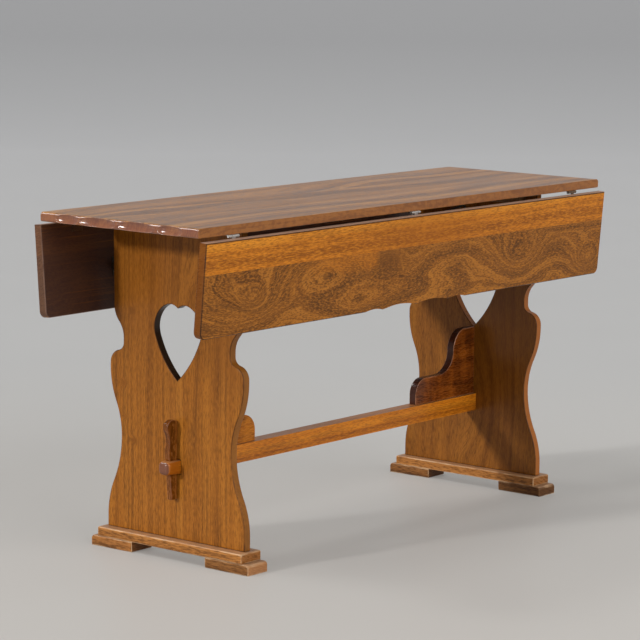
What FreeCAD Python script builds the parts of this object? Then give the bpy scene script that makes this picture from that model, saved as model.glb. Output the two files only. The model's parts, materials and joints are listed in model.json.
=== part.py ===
"""Drop-leaf trestle table: two heart-pierced trestles, a wedged stretcher and two hinged leaves.

Millimetres, +Z up, origin on the floor under the middle of the table, +X along its length.
The far side (+X) and the rear side (+Y) are built first; the near and front pieces mirror them.
"""
import FreeCAD
import Part
import math
import os
import Sketcher
from types import SimpleNamespace

# Driving sizes in millimetres and degrees
SIZES = {
    # Top
    "table_height": 740,
    "board_thickness": 20,
    "top_length": 1449,
    "top_width": 440,
    "outer_board_width": 150,
    "end_upper_round": 7,
    "end_lower_round": 4,
    "edge_round": 1.5,
    "scoop_length": 124,
    "scoop_radius": 16,
    "scoop_standoff": 9,
    # Leaves
    "leaf_length": 1445,
    "leaf_width": 198,
    "leaf_inner_board_width": 66,
    "leaf_joint_gap": 1.1,
    "leaf_hang_angle": 4.6,
    "leaf_corner_round": 15,
    "leaf_edge_round": 3,
    "scallop_span": 119,
    "scallop_depth": 7,
    "small_scallop_span": 65,
    "small_scallop_depth": 4.5,
    # Leaf hinges
    "hinge_place": 614,
    "hinge_length": 32,
    "hinge_plate_width": 26,
    "hinge_plate_thickness": 1.5,
    "hinge_plate_setback": 4.5,
    "hinge_pin_drop": 3.4,
    "hinge_pin_inset": 2.4,
    "hinge_pin_radius": 1.5,
    "hinge_pin_clearance": 0.05,
    "knuckle_radius": 3.1,
    "knuckle_gap": 0.3,
    # Screws
    "screw_radius": 1.6,
    "screw_head_radius": 3.2,
    "screw_head_height": 1.8,
    "screw_slot_width": 0.9,
    "screw_slot_depth": 0.8,
    "short_screw_length": 14,
    "long_screw_length": 38,
    # Trestle panels
    "trestle_place": 533.5,
    "panel_thickness": 19,
    "panel_foot_width": 389,
    "panel_waist_width": 311,
    "panel_shoulder_width": 377,
    "panel_neck_width": 301,
    "panel_upper_width": 356,
    "panel_top_width": 362,
    "panel_foot_rise": 27,
    "waist_height": 245,
    "shoulder_height": 396,
    "shoulder_rise": 8,
    "neck_height": 450,
    "neck_rise": 10,
    "upper_height": 530,
    "heart_width": 134,
    "heart_height": 160,
    "heart_tip_height": 384,
    "heart_shift": 4,
    "foot_tenon_length": 60,
    "foot_tenon_thickness": 9,
    "foot_tenon_depth": 13,
    "foot_tenon_spacing": 200,
    "joint_clearance": 0.1,
    # Feet
    "foot_depth": 64.5,
    "rail_length": 410,
    "rail_height": 20.5,
    "rail_round": 3.5,
    "pad_length": 119.5,
    "pad_height": 22.5,
    "pad_nose": 18.4,
    "pad_nose_round": 8,
    "pad_screw_spacing": 44,
    # Cleats under the top
    "cleat_length": 300,
    "cleat_width": 28,
    "cleat_screw_spacing": 120,
    "cleat_screw_stagger": 30,
    # Stretcher, wedges and braces
    "stretcher_top": 221.5,
    "stretcher_height": 40,
    "stretcher_thickness": 34,
    "tenon_height": 30,
    "tenon_thickness": 31,
    "tenon_lower_shoulder": 3.5,
    "tenon_projection": 40,
    "tenon_round": 4,
    "wedge_top": 302,
    "wedge_bottom": 130,
    "wedge_thickness": 12,
    "wedge_tail_width": 18,
    "wedge_seat_width": 25,
    "wedge_head_width": 31.5,
    "wedge_clearance": 0.3,
    "wedge_mortise_back": 2,
    "brace_thickness": 19,
    "brace_length": 232,
    "brace_height": 162,
    "brace_toe_height": 61,
    "brace_toe_radius": 37,
    "brace_hollow_radius": 53,
    "brace_neck_width": 85,
    "brace_crest_width": 46,
    "dowel_radius": 4,
    "dowel_length": 40,
    # Leaf stays
    "stay_pivot_reach": 110,
    "stay_pivot_depth": 5.2,
    "stud_angle": 30,
    "stay_width": 16,
    "stay_thickness": 2.5,
    "stay_play": 0.3,
    "stay_notch_depth": 2.5,
    "stud_radius": 3,
    "stud_collar_radius": 5,
    "stud_collar_length": 8,
    "stud_head_radius": 6.5,
    "stud_head_thickness": 2,
    "stud_thread_radius": 2.5,
    "stud_thread_length": 12,
    "rivet_radius": 3,
    "rivet_clearance": 0.05,
    "rivet_head_radius": 5,
    "rivet_head_thickness": 1.6,
    "bracket_length": 40,
    "bracket_width": 26,
    "bracket_thickness": 2,
    "bracket_ear_radius": 8,
    # Length by which a cutter runs past what it cuts
    "overrun": 5,
}

# Gouged scoops along a short end: place across the width and length, as shares
SCOOP_PLACE_SHARES = (0.172, 0.37, 0.615, 0.825)
SCOOP_LENGTH_SHARES = (0.66, 1.0, 1.0, 0.68)
# Where each double curve of the trestle's edge changes its bend
FOOT_BEND_SHARE = 0.45
SHOULDER_BEND_SHARE = 0.5
NECK_BEND_SHARE = 0.62
UPPER_BEND_SHARE = 0.5
# Half heart: side point, lobe and notch as shares of its width and height
HEART_SIDE_SHARES = (0.463, 0.569)
HEART_LOBE_SHARES = (0.231, 1.0)
HEART_NOTCH_SHARE = 0.9625
# Rise of the heart's three arcs as shares of their chords
HEART_BOW_SHARES = (0.060, 0.206, 0.143)
# Outer edge of the wedge's head: width shares of the head, height shares from tenon to top
WEDGE_SWELL_SHARES = (0.80, 0.37)
WEDGE_BEAK_SHARES = (0.98, 0.74)
WEDGE_CROWN_SHARES = (0.62, 1.0)
WEDGE_BACK_SHARE = 0.95
WEDGE_BOW_SHARES = (0.06, 0.09, 0.26, 0.10)
# Dowel places along the brace and screw places along a hinge plate
DOWEL_PLACE_SHARES = (0.26, 0.8)
HINGE_SCREW_SHARES = (-0.28, 0.28)
HINGE_SCREW_REACH_SHARE = 0.58
BRACKET_SCREW_SHARES = (-0.32, 0.32)
BRACKET_SCREW_REACH_SHARE = 0.55

doc = FreeCAD.newDocument("drop_leaf_trestle_table")
sheet = doc.addObject("Spreadsheet::Sheet", "Sizes")
for row, (alias, number) in enumerate(SIZES.items(), start=1):
    sheet.set(f"A{row}", alias)
    sheet.set(f"B{row}", str(number))
    sheet.setAlias(f"B{row}", alias)
doc.recompute()


class Size:
    """A value together with the sheet expression that gives it."""

    def __init__(self, value, text):
        self.value = value
        self.text = text

    def __add__(self, other):
        other = as_size(other)
        return Size(self.value + other.value, f"({self.text} + {other.text})")

    def __sub__(self, other):
        other = as_size(other)
        return Size(self.value - other.value, f"({self.text} - {other.text})")

    def __mul__(self, other):
        other = as_size(other)
        return Size(self.value * other.value, f"({self.text} * {other.text})")

    def __truediv__(self, other):
        other = as_size(other)
        return Size(self.value / other.value, f"({self.text} / {other.text})")

    def __neg__(self):
        return Size(-self.value, f"(0 - {self.text})")


def as_size(item):
    return item if isinstance(item, Size) else Size(float(item), f"({item})")


def sine(angle):
    return Size(math.sin(math.radians(angle.value)), f"sin({angle.text} * 1 deg)")


def cosine(angle):
    return Size(math.cos(math.radians(angle.value)), f"cos({angle.text} * 1 deg)")


def arc_tangent(ratio):
    return Size(math.degrees(math.atan(ratio.value)), f"(atan({ratio.text}) / 1 deg)")


def root(area):
    return Size(math.sqrt(area.value), f"sqrt({area.text})")


S = SimpleNamespace(**{name: Size(float(number), f"Sizes.{name}") for name, number in SIZES.items()})
ORIGIN = FreeCAD.Vector()
ALONG = {
    "x": FreeCAD.Rotation(FreeCAD.Vector(0, 1, 0), 90),
    "y": FreeCAD.Rotation(FreeCAD.Vector(1, 0, 0), -90),
    "z": FreeCAD.Rotation(),
}
pieces = {}


# Helpers that make bound objects

def bind(thing, prop, item):
    thing.setExpression(prop, as_size(item).text)


def seat(thing, x=0, y=0, z=0):
    for axis, item in (("x", x), ("y", y), ("z", z)):
        bind(thing, f"Placement.Base.{axis}", item)
    return thing


def box(name, low, extent):
    thing = doc.addObject("Part::Box", name)
    for prop, item in zip(("Length", "Width", "Height"), extent):
        bind(thing, prop, item)
    return seat(thing, *low)


def rod(name, radius, start, length, axis):
    thing = doc.addObject("Part::Cylinder", name)
    thing.Placement.Rotation = ALONG[axis]
    bind(thing, "Radius", radius)
    bind(thing, "Height", length)
    return seat(thing, *start)


def fuse(name, *parts):
    thing = doc.addObject("Part::MultiFuse", name)
    thing.Shapes = list(parts)
    return thing


def cut(name, base, *tools):
    thing = base
    for count, tool in enumerate(tools, start=1):
        step = doc.addObject("Part::Cut", name if count == len(tools) else f"{name}_cut_{count}")
        step.Base = thing
        step.Tool = tool
        thing = step
    return thing


def common(name, base, tool):
    thing = doc.addObject("Part::Common", name)
    thing.Base = base
    thing.Tool = tool
    return thing


def compound(name, *parts):
    thing = doc.addObject("Part::Compound", name)
    thing.Links = list(parts)
    return thing


def rounded(name, base, radius, test):
    """Round the edges whose box passes the test."""
    doc.recompute()
    thing = doc.addObject("Part::Fillet", name)
    thing.Base = base
    picked = [number for number, edge in enumerate(base.Shape.Edges, start=1) if test(edge.BoundBox)]
    thing.Edges = [(number, radius.value, radius.value) for number in picked]
    return thing


def keep(label, thing):
    """Give a finished piece the label that names its file."""
    thing.Label = label
    pieces[label] = thing
    return thing


def mirrored(name, source, axis):
    thing = doc.addObject("Part::Mirroring", name)
    thing.Source = source
    thing.Base = ORIGIN
    thing.Normal = FreeCAD.Vector(1, 0, 0) if axis == "x" else FreeCAD.Vector(0, 1, 0)
    return thing


def both_ends(name, thing):
    """Keep a piece of the far trestle and its mirror at the near one."""
    keep(f"far_{name}", thing)
    keep(f"near_{name}", mirrored(f"near_{name}", thing, "x"))


def both_sides(name, thing):
    """Keep a piece of the rear side and its mirror at the front."""
    keep(f"rear_{name}", thing)
    keep(f"front_{name}", mirrored(f"front_{name}", thing, "y"))


def all_corners(name, thing):
    """Keep a piece of the far rear corner and its mirrors at the other three."""
    both_sides(f"far_{name}", thing)
    for side in ("rear", "front"):
        twin = mirrored(f"{side}_near_{name}", pieces[f"{side}_far_{name}"], "x")
        keep(f"{side}_near_{name}", twin)


def hung(thing):
    """Swing a piece drawn on the raised rear leaf down to where the leaf hangs."""
    thing.Placement = FreeCAD.Placement(ORIGIN, FreeCAD.Rotation(FreeCAD.Vector(-1, 0, 0), 90))
    bind(thing, "Placement.Rotation.Angle", S.leaf_hang_angle + 90)
    lean = sine(S.leaf_hang_angle)
    drop = cosine(S.leaf_hang_angle)
    return seat(thing, 0, pin_y + pin_y * lean - pin_z * drop, pin_z + pin_y * drop + pin_z * lean)


# Outlines of straight lines and arcs, every corner and radius bound to the sheet

STRAIGHT = (0, None)


def vector(corner):
    return FreeCAD.Vector(as_size(corner[0]).value, as_size(corner[1]).value, 0)


def edge_curve(start, end, bend, radius):
    """A straight edge, or an arc that turns left (bend 1) or right (bend -1) from start to end."""
    if not bend:
        return Part.LineSegment(start, end)
    chord = end - start
    left = FreeCAD.Vector(-chord.y, chord.x, 0).normalize()
    rise = math.sqrt(max(radius.value ** 2 - chord.Length ** 2 / 4, 0))
    centre = (start + end) * 0.5 + left * (bend * rise)
    first, last = (start, end) if bend > 0 else (end, start)
    angles = [math.atan2(point.y - centre.y, point.x - centre.x) for point in (first, last)]
    if angles[1] < angles[0]:
        angles[1] += 2 * math.pi
    circle = Part.Circle(centre, FreeCAD.Vector(0, 0, 1), radius.value)
    return Part.ArcOfCircle(circle, *angles)


def draw_loop(sketch, corners, edges):
    """Add a closed loop: edge n runs from corner n to the next one."""
    base = sketch.GeometryCount
    total = len(corners)
    ends = []
    for number, (bend, radius) in enumerate(edges):
        start = vector(corners[number])
        end = vector(corners[(number + 1) % total])
        sketch.addGeometry(edge_curve(start, end, bend, radius), False)
        ends.append((2, 1) if bend < 0 else (1, 2))
    for number, corner in enumerate(corners):
        after = (number + 1) % total
        sketch.addConstraint(Sketcher.Constraint(
            "Coincident", base + number, ends[number][1], base + after, ends[after][0]))
        for kind, item in zip(("DistanceX", "DistanceY"), corner):
            item = as_size(item)
            index = sketch.addConstraint(Sketcher.Constraint(
                kind, -1, 1, base + number, ends[number][0], item.value))
            sketch.setExpression(f"Constraints[{index}]", item.text)
        if edges[number][0]:
            radius = edges[number][1]
            index = sketch.addConstraint(Sketcher.Constraint("Radius", base + number, radius.value))
            sketch.setExpression(f"Constraints[{index}]", radius.text)


def plate_body(name, plane, thickness, *loops):
    """A flat piece: loops drawn on one of the body's planes, thickened evenly to both sides."""
    body = doc.addObject("PartDesign::Body", name)
    support = next(item for item in body.Origin.OriginFeatures if item.Role == plane)
    sketch = body.newObject("Sketcher::SketchObject", f"{name}_outline")
    sketch.AttachmentSupport = [(support, "")]
    sketch.MapMode = "FlatFace"
    for corners, edges in loops:
        draw_loop(sketch, corners, edges)
    pad = body.newObject("PartDesign::Pad", f"{name}_pad")
    pad.Profile = sketch
    pad.SideType = "Symmetric"
    bind(pad, "Length", thickness)
    return body


def double_curve(start, end, share):
    """Corner and two arc edges of a curve that leaves start and reaches end upright."""
    across = end[0] - start[0]
    up = end[1] - start[1]
    turn = -1 if across.value > 0 else 1
    reach = (across * across + up * up) / (across * (-2 * turn))
    middle = (start[0] + across * share, start[1] + up * share)
    return middle, [(turn, reach * share), (-turn, reach * (1 - share))]


def bowed(start, end, bend, share):
    """Arc edge from start to end that rises from its chord by a share of it."""
    across = as_size(end[0]) - start[0]
    up = as_size(end[1]) - start[1]
    factor = (1 + 4 * share * share) / (8 * share)
    return bend, root(across * across + up * up) * factor


def flip(corner, axis):
    return axis * 2 - corner[0], corner[1]


# Places that several pieces share

underside = S.table_height - S.board_thickness
pin_y = S.top_width / 2 - S.hinge_pin_inset
pin_z = underside - S.hinge_pin_drop
leaf_edge_y = S.top_width / 2 + S.leaf_joint_gap
rail_top = S.pad_height + S.rail_height
panel_inner_x = S.trestle_place - S.panel_thickness / 2
panel_outer_x = S.trestle_place + S.panel_thickness / 2
stretcher_bottom = S.stretcher_top - S.stretcher_height
tenon_bottom = stretcher_bottom + S.tenon_lower_shoulder
tenon_top = tenon_bottom + S.tenon_height
tenon_end_x = panel_outer_x + S.tenon_projection
foot_low_x = S.trestle_place - S.foot_depth / 2


# Screws

def screw(name, length):
    """Countersunk wood screw pointing up, head face at the origin: its plain blank and the slotted screw."""
    head = doc.addObject("Part::Cone", f"{name}_head")
    bind(head, "Radius1", S.screw_head_radius)
    bind(head, "Radius2", S.screw_radius)
    bind(head, "Height", S.screw_head_height)
    shank = rod(f"{name}_shank", S.screw_radius, (0, 0, 0), length, "z")
    slot = box(
        f"{name}_slot",
        (-S.screw_head_radius, -S.screw_slot_width / 2, -S.screw_slot_depth),
        (S.screw_head_radius * 2, S.screw_slot_width, S.screw_slot_depth * 2),
    )
    blank = fuse(f"{name}_blank", head, shank)
    return blank, cut(name, blank, slot)


def copies(name, source, places, turn):
    """Copies of one solid, a separate one at each place."""
    group = doc.addObject("Part::Feature", name)
    shapes = []
    for place in places:
        point = FreeCAD.Vector(*[as_size(item).value for item in place])
        shape = source.Shape.copy()
        shape.Placement = FreeCAD.Placement(point, turn).multiply(shape.Placement)
        shapes.append(shape)
    group.Shape = Part.makeCompound(shapes)
    return group


def screw_group(name, kind, places, turn=FreeCAD.Rotation()):
    """A screw at each place, and the holes that they fill."""
    doc.recompute()
    blank, slotted = kind
    return copies(f"{name}_screws", slotted, places, turn), copies(f"{name}_holes", blank, places, turn)


short_screw = screw("short_screw", S.short_screw_length)
long_screw = screw("long_screw", S.long_screw_length)
hinge_places = (-S.hinge_place, as_size(0), S.hinge_place)
hinge_names = ("near", "middle", "far")
screw_reach = S.hinge_plate_width * HINGE_SCREW_REACH_SHARE
hinge_screw_x = [place + S.hinge_length * share for place in hinge_places for share in HINGE_SCREW_SHARES]
plate_low = underside - S.hinge_plate_thickness
top_hinge_spots = [
    (x, y, plate_low) for x in hinge_screw_x for y in (pin_y - screw_reach, screw_reach - pin_y)
]
leaf_hinge_spots = [(x, pin_y + screw_reach, plate_low) for x in hinge_screw_x]
cleat_low = underside - S.cleat_width
cleat_inner_x = panel_inner_x - S.cleat_width
cleat_middle_x = panel_inner_x - S.cleat_width / 2
cleat_rows = (-S.cleat_screw_spacing, as_size(0), S.cleat_screw_spacing)
up_spots = [(x, y, cleat_low) for x in (cleat_middle_x, -cleat_middle_x) for y in cleat_rows]
side_rows = [row + S.cleat_screw_stagger for row in cleat_rows[:2]]
side_height = underside - S.cleat_width / 2
far_side_spots = [(cleat_inner_x, y, side_height) for y in side_rows]
pad_middle_y = S.rail_length / 2 + S.pad_nose - S.pad_length / 2
pad_spots = [
    (x, y + shift, as_size(0))
    for x in (S.trestle_place, -S.trestle_place)
    for y in (pad_middle_y, -pad_middle_y)
    for shift in (S.pad_screw_spacing / 2, -S.pad_screw_spacing / 2)
]
top_hinge_screws, top_hinge_holes = screw_group("top_hinge", short_screw, top_hinge_spots)
leaf_hinge_screws, leaf_hinge_holes = screw_group("raised_leaf_hinge", short_screw, leaf_hinge_spots)
cleat_up_screws, cleat_up_holes = screw_group("cleat_up", long_screw, up_spots)
cleat_far_screws, cleat_far_holes = screw_group("cleat_far", long_screw, far_side_spots, ALONG["x"])
pad_screws, pad_holes = screw_group("pad", long_screw, pad_spots)
cleat_near_screws = mirrored("cleat_near_screws", cleat_far_screws, "x")
keep("top_hinge_screws", top_hinge_screws)
keep("cleat_screws", compound("cleat_screws", cleat_up_screws, cleat_far_screws, cleat_near_screws))
keep("pad_screws", pad_screws)
both_sides("leaf_hinge_screws", hung(compound("rear_leaf_hinge_screws", leaf_hinge_screws)))


# Top: one slab with rounded, gouged ends, divided into its three boards

def scoops(end):
    """Long shallow gouge cuts along one short end."""
    cuts = []
    for number, (place, length) in enumerate(zip(SCOOP_PLACE_SHARES, SCOOP_LENGTH_SHARES), start=1):
        scoop = doc.addObject("Part::Ellipsoid", f"{end}_scoop_{number}")
        bind(scoop, "Radius1", S.scoop_radius)
        bind(scoop, "Radius2", S.scoop_radius)
        bind(scoop, "Radius3", S.scoop_length * (length / 2))
        reach = S.top_length / 2 + S.scoop_standoff
        seat(scoop, reach if end == "far" else -reach, S.top_width * (0.5 - place),
             S.table_height - S.board_thickness / 2)
        cuts.append(scoop)
    return cuts


top_half = S.top_length / 2
top_side = S.top_width / 2
slab = box("top_slab", (-top_half, -top_side, underside), (S.top_length, S.top_width, S.board_thickness))
slab_middle_z = (S.table_height - S.board_thickness / 2).value
slab = rounded("top_upper_ends", slab, S.end_upper_round,
               lambda edge: edge.YLength > top_side.value and edge.ZMin > slab_middle_z)
slab = rounded("top_lower_ends", slab, S.end_lower_round,
               lambda edge: edge.YLength > top_side.value and edge.ZMax < slab_middle_z)
slab = rounded("top_arrises", slab, S.edge_round, lambda edge: edge.XLength > top_half.value)
slab = cut("gouged_top", slab, *scoops("near"), *scoops("far"))
board_split = (-top_side, S.outer_board_width - top_side, top_side - S.outer_board_width, top_side)
for name, low_y, high_y in zip(("front", "middle", "rear"), board_split, board_split[1:]):
    zone = box(
        f"top_{name}_zone",
        (-top_half - S.overrun, low_y, underside - S.overrun),
        (S.top_length + S.overrun * 2, high_y - low_y, S.board_thickness + S.overrun * 2),
    )
    board = common(f"top_board_{name}_blank", slab, zone)
    keep(f"top_board_{name}", cut(f"top_board_{name}", board, top_hinge_holes, cleat_up_holes))


# Trestle panels

def panel_loop():
    """Serpentine edge from foot to top, and its mirror image."""
    foot = (S.panel_foot_width / 2, rail_top)
    foot_end = (S.panel_foot_width / 2, rail_top + S.panel_foot_rise)
    waist = (S.panel_waist_width / 2, S.waist_height)
    shoulder = (S.panel_shoulder_width / 2, S.shoulder_height)
    shoulder_end = (S.panel_shoulder_width / 2, S.shoulder_height + S.shoulder_rise)
    neck = (S.panel_neck_width / 2, S.neck_height)
    neck_end = (S.panel_neck_width / 2, S.neck_height + S.neck_rise)
    upper = (S.panel_upper_width / 2, S.upper_height)
    top = (S.panel_top_width / 2, underside)
    foot_bend, foot_arcs = double_curve(foot_end, waist, FOOT_BEND_SHARE)
    waist_bend, waist_arcs = double_curve(waist, shoulder, SHOULDER_BEND_SHARE)
    neck_bend, neck_arcs = double_curve(shoulder_end, neck, NECK_BEND_SHARE)
    upper_bend, upper_arcs = double_curve(neck_end, upper, UPPER_BEND_SHARE)
    side = [foot, foot_end, foot_bend, waist, waist_bend, shoulder, shoulder_end, neck_bend, neck,
            neck_end, upper_bend, upper, top]
    edges = [STRAIGHT, *foot_arcs, *waist_arcs, STRAIGHT, *neck_arcs, STRAIGHT, *upper_arcs, STRAIGHT]
    corners = side + [flip(corner, as_size(0)) for corner in reversed(side)]
    return corners, edges + [STRAIGHT] + edges[::-1] + [STRAIGHT]


def heart_loop():
    """Heart with its tip down, cut a little towards the front."""
    axis = -S.heart_shift
    tip = (axis, S.heart_tip_height)
    right = [tip]
    for out_share, up_share in (HEART_SIDE_SHARES, HEART_LOBE_SHARES, (0, HEART_NOTCH_SHARE)):
        right.append((axis + S.heart_width * out_share, S.heart_tip_height + S.heart_height * up_share))
    edges = [bowed(start, end, 1, share) for start, end, share in zip(right, right[1:], HEART_BOW_SHARES)]
    corners = right + [flip(corner, axis) for corner in right[2:0:-1]]
    return corners, edges + edges[::-1]


panel = seat(plate_body("panel", "YZ_Plane", S.panel_thickness, panel_loop(), heart_loop()), S.trestle_place)
foot_tenon_y = (S.foot_tenon_spacing - S.foot_tenon_length) / 2


def foot_tenon(name, side, room):
    """Stub tenon on the panel's foot, or with room added, its mortise in the rail."""
    low_y = foot_tenon_y if side == "rear" else -foot_tenon_y - S.foot_tenon_length
    return box(
        name,
        (S.trestle_place - S.foot_tenon_thickness / 2 - room, low_y - room,
         rail_top - S.foot_tenon_depth - room),
        (S.foot_tenon_thickness + room * 2, S.foot_tenon_length + room * 2, S.foot_tenon_depth + room),
    )


panel = fuse("tenoned_panel", panel, *[
    foot_tenon(f"{side}_foot_tenon", side, as_size(0)) for side in ("front", "rear")])
stretcher_mortise = box(
    "stretcher_mortise",
    (panel_inner_x - S.overrun, -S.tenon_thickness / 2 - S.joint_clearance, tenon_bottom - S.joint_clearance),
    (S.panel_thickness + S.overrun * 2, S.tenon_thickness + S.joint_clearance * 2,
     S.tenon_height + S.joint_clearance * 2),
)


# Leaf stays: an arm pivots on the leaf and its slot rides on a stud in the panel.
# Pivot and stud stand equally far from the hinge pin, so the arm turns half as far as the leaf.

stay_arm = root(S.stay_pivot_reach * S.stay_pivot_reach + S.stay_pivot_depth * S.stay_pivot_depth)
pivot_angle = arc_tangent(S.stay_pivot_depth / S.stay_pivot_reach)
pivot_y = pin_y + S.stay_pivot_reach
pivot_z = pin_z - S.stay_pivot_depth
stud_y = pin_y - stay_arm * sine(S.stud_angle)
stud_z = pin_z - stay_arm * cosine(S.stud_angle)
slot_start = stay_arm * sine((S.stud_angle - S.leaf_hang_angle - pivot_angle) / 2) * 2
slot_end = stay_arm * sine((S.stud_angle + 90 - pivot_angle) / 2) * 2
collar_x = panel_inner_x - S.stud_collar_length
arm_x = collar_x - S.stay_play - S.stay_thickness
ear_x = arm_x - S.stay_play - S.bracket_thickness
stud_head_x = arm_x - S.stay_play - S.stud_head_thickness

far_rear_stud = fuse(
    "far_rear_stud",
    rod("stud_thread", S.stud_thread_radius, (panel_inner_x, stud_y, stud_z), S.stud_thread_length, "x"),
    rod("stud_collar", S.stud_collar_radius, (collar_x, stud_y, stud_z), S.stud_collar_length, "x"),
    rod("stud_shank", S.stud_radius, (stud_head_x, stud_y, stud_z), collar_x - stud_head_x, "x"),
    rod("stud_head", S.stud_head_radius, (stud_head_x, stud_y, stud_z), S.stud_head_thickness, "x"),
)
far_front_stud = mirrored("far_front_stud", far_rear_stud, "y")
far_studs = compound("far_studs", far_rear_stud, far_front_stud)
keep("stay_studs", compound("stay_studs", far_studs, mirrored("near_studs", far_studs, "x")))
both_ends("trestle_panel", cut(
    "far_trestle_panel", panel, stretcher_mortise, far_rear_stud, far_front_stud, cleat_far_holes))

slot_radius = S.stud_radius + S.stay_play
stay_reach = S.stay_thickness + S.overrun * 2
stay_bar = fuse(
    "stay_bar",
    box("stay_strip", (0, 0, -S.stay_width / 2), (S.stay_thickness, slot_end, S.stay_width)),
    rod("stay_pivot_end", S.stay_width / 2, (0, 0, 0), S.stay_thickness, "x"),
    rod("stay_free_end", S.stay_width / 2, (0, slot_end, 0), S.stay_thickness, "x"),
)
stay_slot = fuse(
    "stay_slot",
    box("slot_run", (-S.overrun, slot_start, -slot_radius),
        (stay_reach, slot_end - slot_start, slot_radius * 2)),
    rod("slot_first_end", slot_radius, (-S.overrun, slot_start, 0), stay_reach, "x"),
    rod("slot_last_end", slot_radius, (-S.overrun, slot_end, 0), stay_reach, "x"),
    box("notch_run", (-S.overrun, slot_end - slot_radius, -S.stay_notch_depth),
        (stay_reach, slot_radius * 2, S.stay_notch_depth)),
    rod("notch_end", slot_radius, (-S.overrun, slot_end, -S.stay_notch_depth), stay_reach, "x"),
)
stay_eye = rod("stay_eye", S.rivet_radius + S.rivet_clearance, (-S.overrun, 0, 0), stay_reach, "x")
stay = cut("rear_far_stay", stay_bar, stay_slot, stay_eye)
pivot_lean = S.leaf_hang_angle + pivot_angle
stay.Placement = FreeCAD.Placement(ORIGIN, FreeCAD.Rotation(FreeCAD.Vector(1, 0, 0), 90))
bind(stay, "Placement.Rotation.Angle", as_size(180) - (pivot_lean + S.stud_angle) / 2)
seat(stay, arm_x, pin_y - stay_arm * sine(pivot_lean), pin_z - stay_arm * cosine(pivot_lean))
all_corners("stay", stay)

rivet = fuse(
    "far_rivet",
    rod("rivet_shank", S.rivet_radius, (ear_x, pivot_y, pivot_z),
        arm_x + S.stay_thickness + S.stay_play - ear_x, "x"),
    rod("rivet_head", S.rivet_head_radius, (arm_x + S.stay_thickness + S.stay_play, pivot_y, pivot_z),
        S.rivet_head_thickness, "x"),
    rod("rivet_peen", (S.rivet_radius + S.rivet_head_radius) / 2,
        (ear_x - S.rivet_head_thickness / 2, pivot_y, pivot_z), S.rivet_head_thickness / 2, "x"),
)
both_sides("stay_rivets", hung(compound("rear_stay_rivets", rivet, mirrored("near_rivet", rivet, "x"))))
bracket_outer_x = ear_x + S.bracket_thickness
bracket_low = underside - S.bracket_thickness
bracket_screw_x = bracket_outer_x - S.bracket_width * BRACKET_SCREW_REACH_SHARE
bracket_spots = [
    (x, pivot_y + S.bracket_length * share, bracket_low)
    for x in (bracket_screw_x, -bracket_screw_x)
    for share in BRACKET_SCREW_SHARES
]
bracket_screws, bracket_holes = screw_group("raised_bracket", short_screw, bracket_spots)
both_sides("bracket_screws", hung(compound("rear_bracket_screws", bracket_screws)))
bracket = fuse(
    "bracket_blank",
    box("bracket_plate", (bracket_outer_x - S.bracket_width, pivot_y - S.bracket_length / 2, bracket_low),
        (S.bracket_width, S.bracket_length, S.bracket_thickness)),
    box("bracket_ear", (ear_x, pivot_y - S.bracket_ear_radius, pivot_z),
        (S.bracket_thickness, S.bracket_ear_radius * 2, underside - pivot_z)),
    rod("bracket_boss", S.bracket_ear_radius, (ear_x, pivot_y, pivot_z), S.bracket_thickness, "x"),
)
all_corners("stay_bracket", hung(cut("rear_far_stay_bracket", bracket, rivet, bracket_holes)))


# Feet

rail = box("rail_blank", (foot_low_x, -S.rail_length / 2, S.pad_height),
           (S.foot_depth, S.rail_length, S.rail_height))
rail = rounded("rail_rounded", rail, S.rail_round, lambda edge: edge.ZMax > (rail_top - S.rail_round).value)
rail_mortises = [foot_tenon(f"{side}_rail_mortise", side, S.joint_clearance) for side in ("front", "rear")]
both_ends("foot_rail", cut("far_foot_rail", rail, *rail_mortises, pad_holes))

pad_end_y = S.rail_length / 2 + S.pad_nose
pad = box("pad_blank", (foot_low_x, pad_end_y - S.pad_length, 0), (S.foot_depth, S.pad_length, S.pad_height))
pad_nose_y = (pad_end_y - S.edge_round).value
pad = rounded("pad_nose", pad, S.pad_nose_round,
              lambda edge: edge.YMin > pad_nose_y and edge.ZMin > S.pad_height.value / 2)
pad = rounded("pad_rounded", pad, S.rail_round,
              lambda edge: edge.YMin > pad_nose_y and edge.ZLength > S.pad_height.value / 2)
all_corners("foot_pad", cut("rear_far_foot_pad", pad, pad_holes))


# Cleats, stretcher, wedges and braces

cleat = box("cleat_blank", (cleat_inner_x, -S.cleat_length / 2, cleat_low),
            (S.cleat_width, S.cleat_length, S.cleat_width))
both_ends("top_cleat", cut("far_top_cleat", cleat, cleat_up_holes, cleat_far_holes))

wedge_back_x = panel_outer_x + S.wedge_clearance
wedge_slope = (S.wedge_seat_width - S.wedge_tail_width) / (tenon_top - S.wedge_bottom)


def wedge_loop():
    """Upright back, tapered tail below the tenon's top, swelled and beaked head above it."""
    head_height = S.wedge_top - tenon_top
    corners = [
        (wedge_back_x, S.wedge_bottom),
        (wedge_back_x + S.wedge_tail_width, S.wedge_bottom),
        (wedge_back_x + S.wedge_seat_width, tenon_top),
    ]
    head_shares = (WEDGE_SWELL_SHARES, WEDGE_BEAK_SHARES, WEDGE_CROWN_SHARES, (0, WEDGE_BACK_SHARE))
    for out_share, up_share in head_shares:
        corners.append((wedge_back_x + S.wedge_head_width * out_share, tenon_top + head_height * up_share))
    bends = (1, -1, 1, 1)
    head = [bowed(start, end, bend, share) for start, end, bend, share
            in zip(corners[2:], corners[3:], bends, WEDGE_BOW_SHARES)]
    return corners, [STRAIGHT, STRAIGHT, *head, STRAIGHT]


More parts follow.
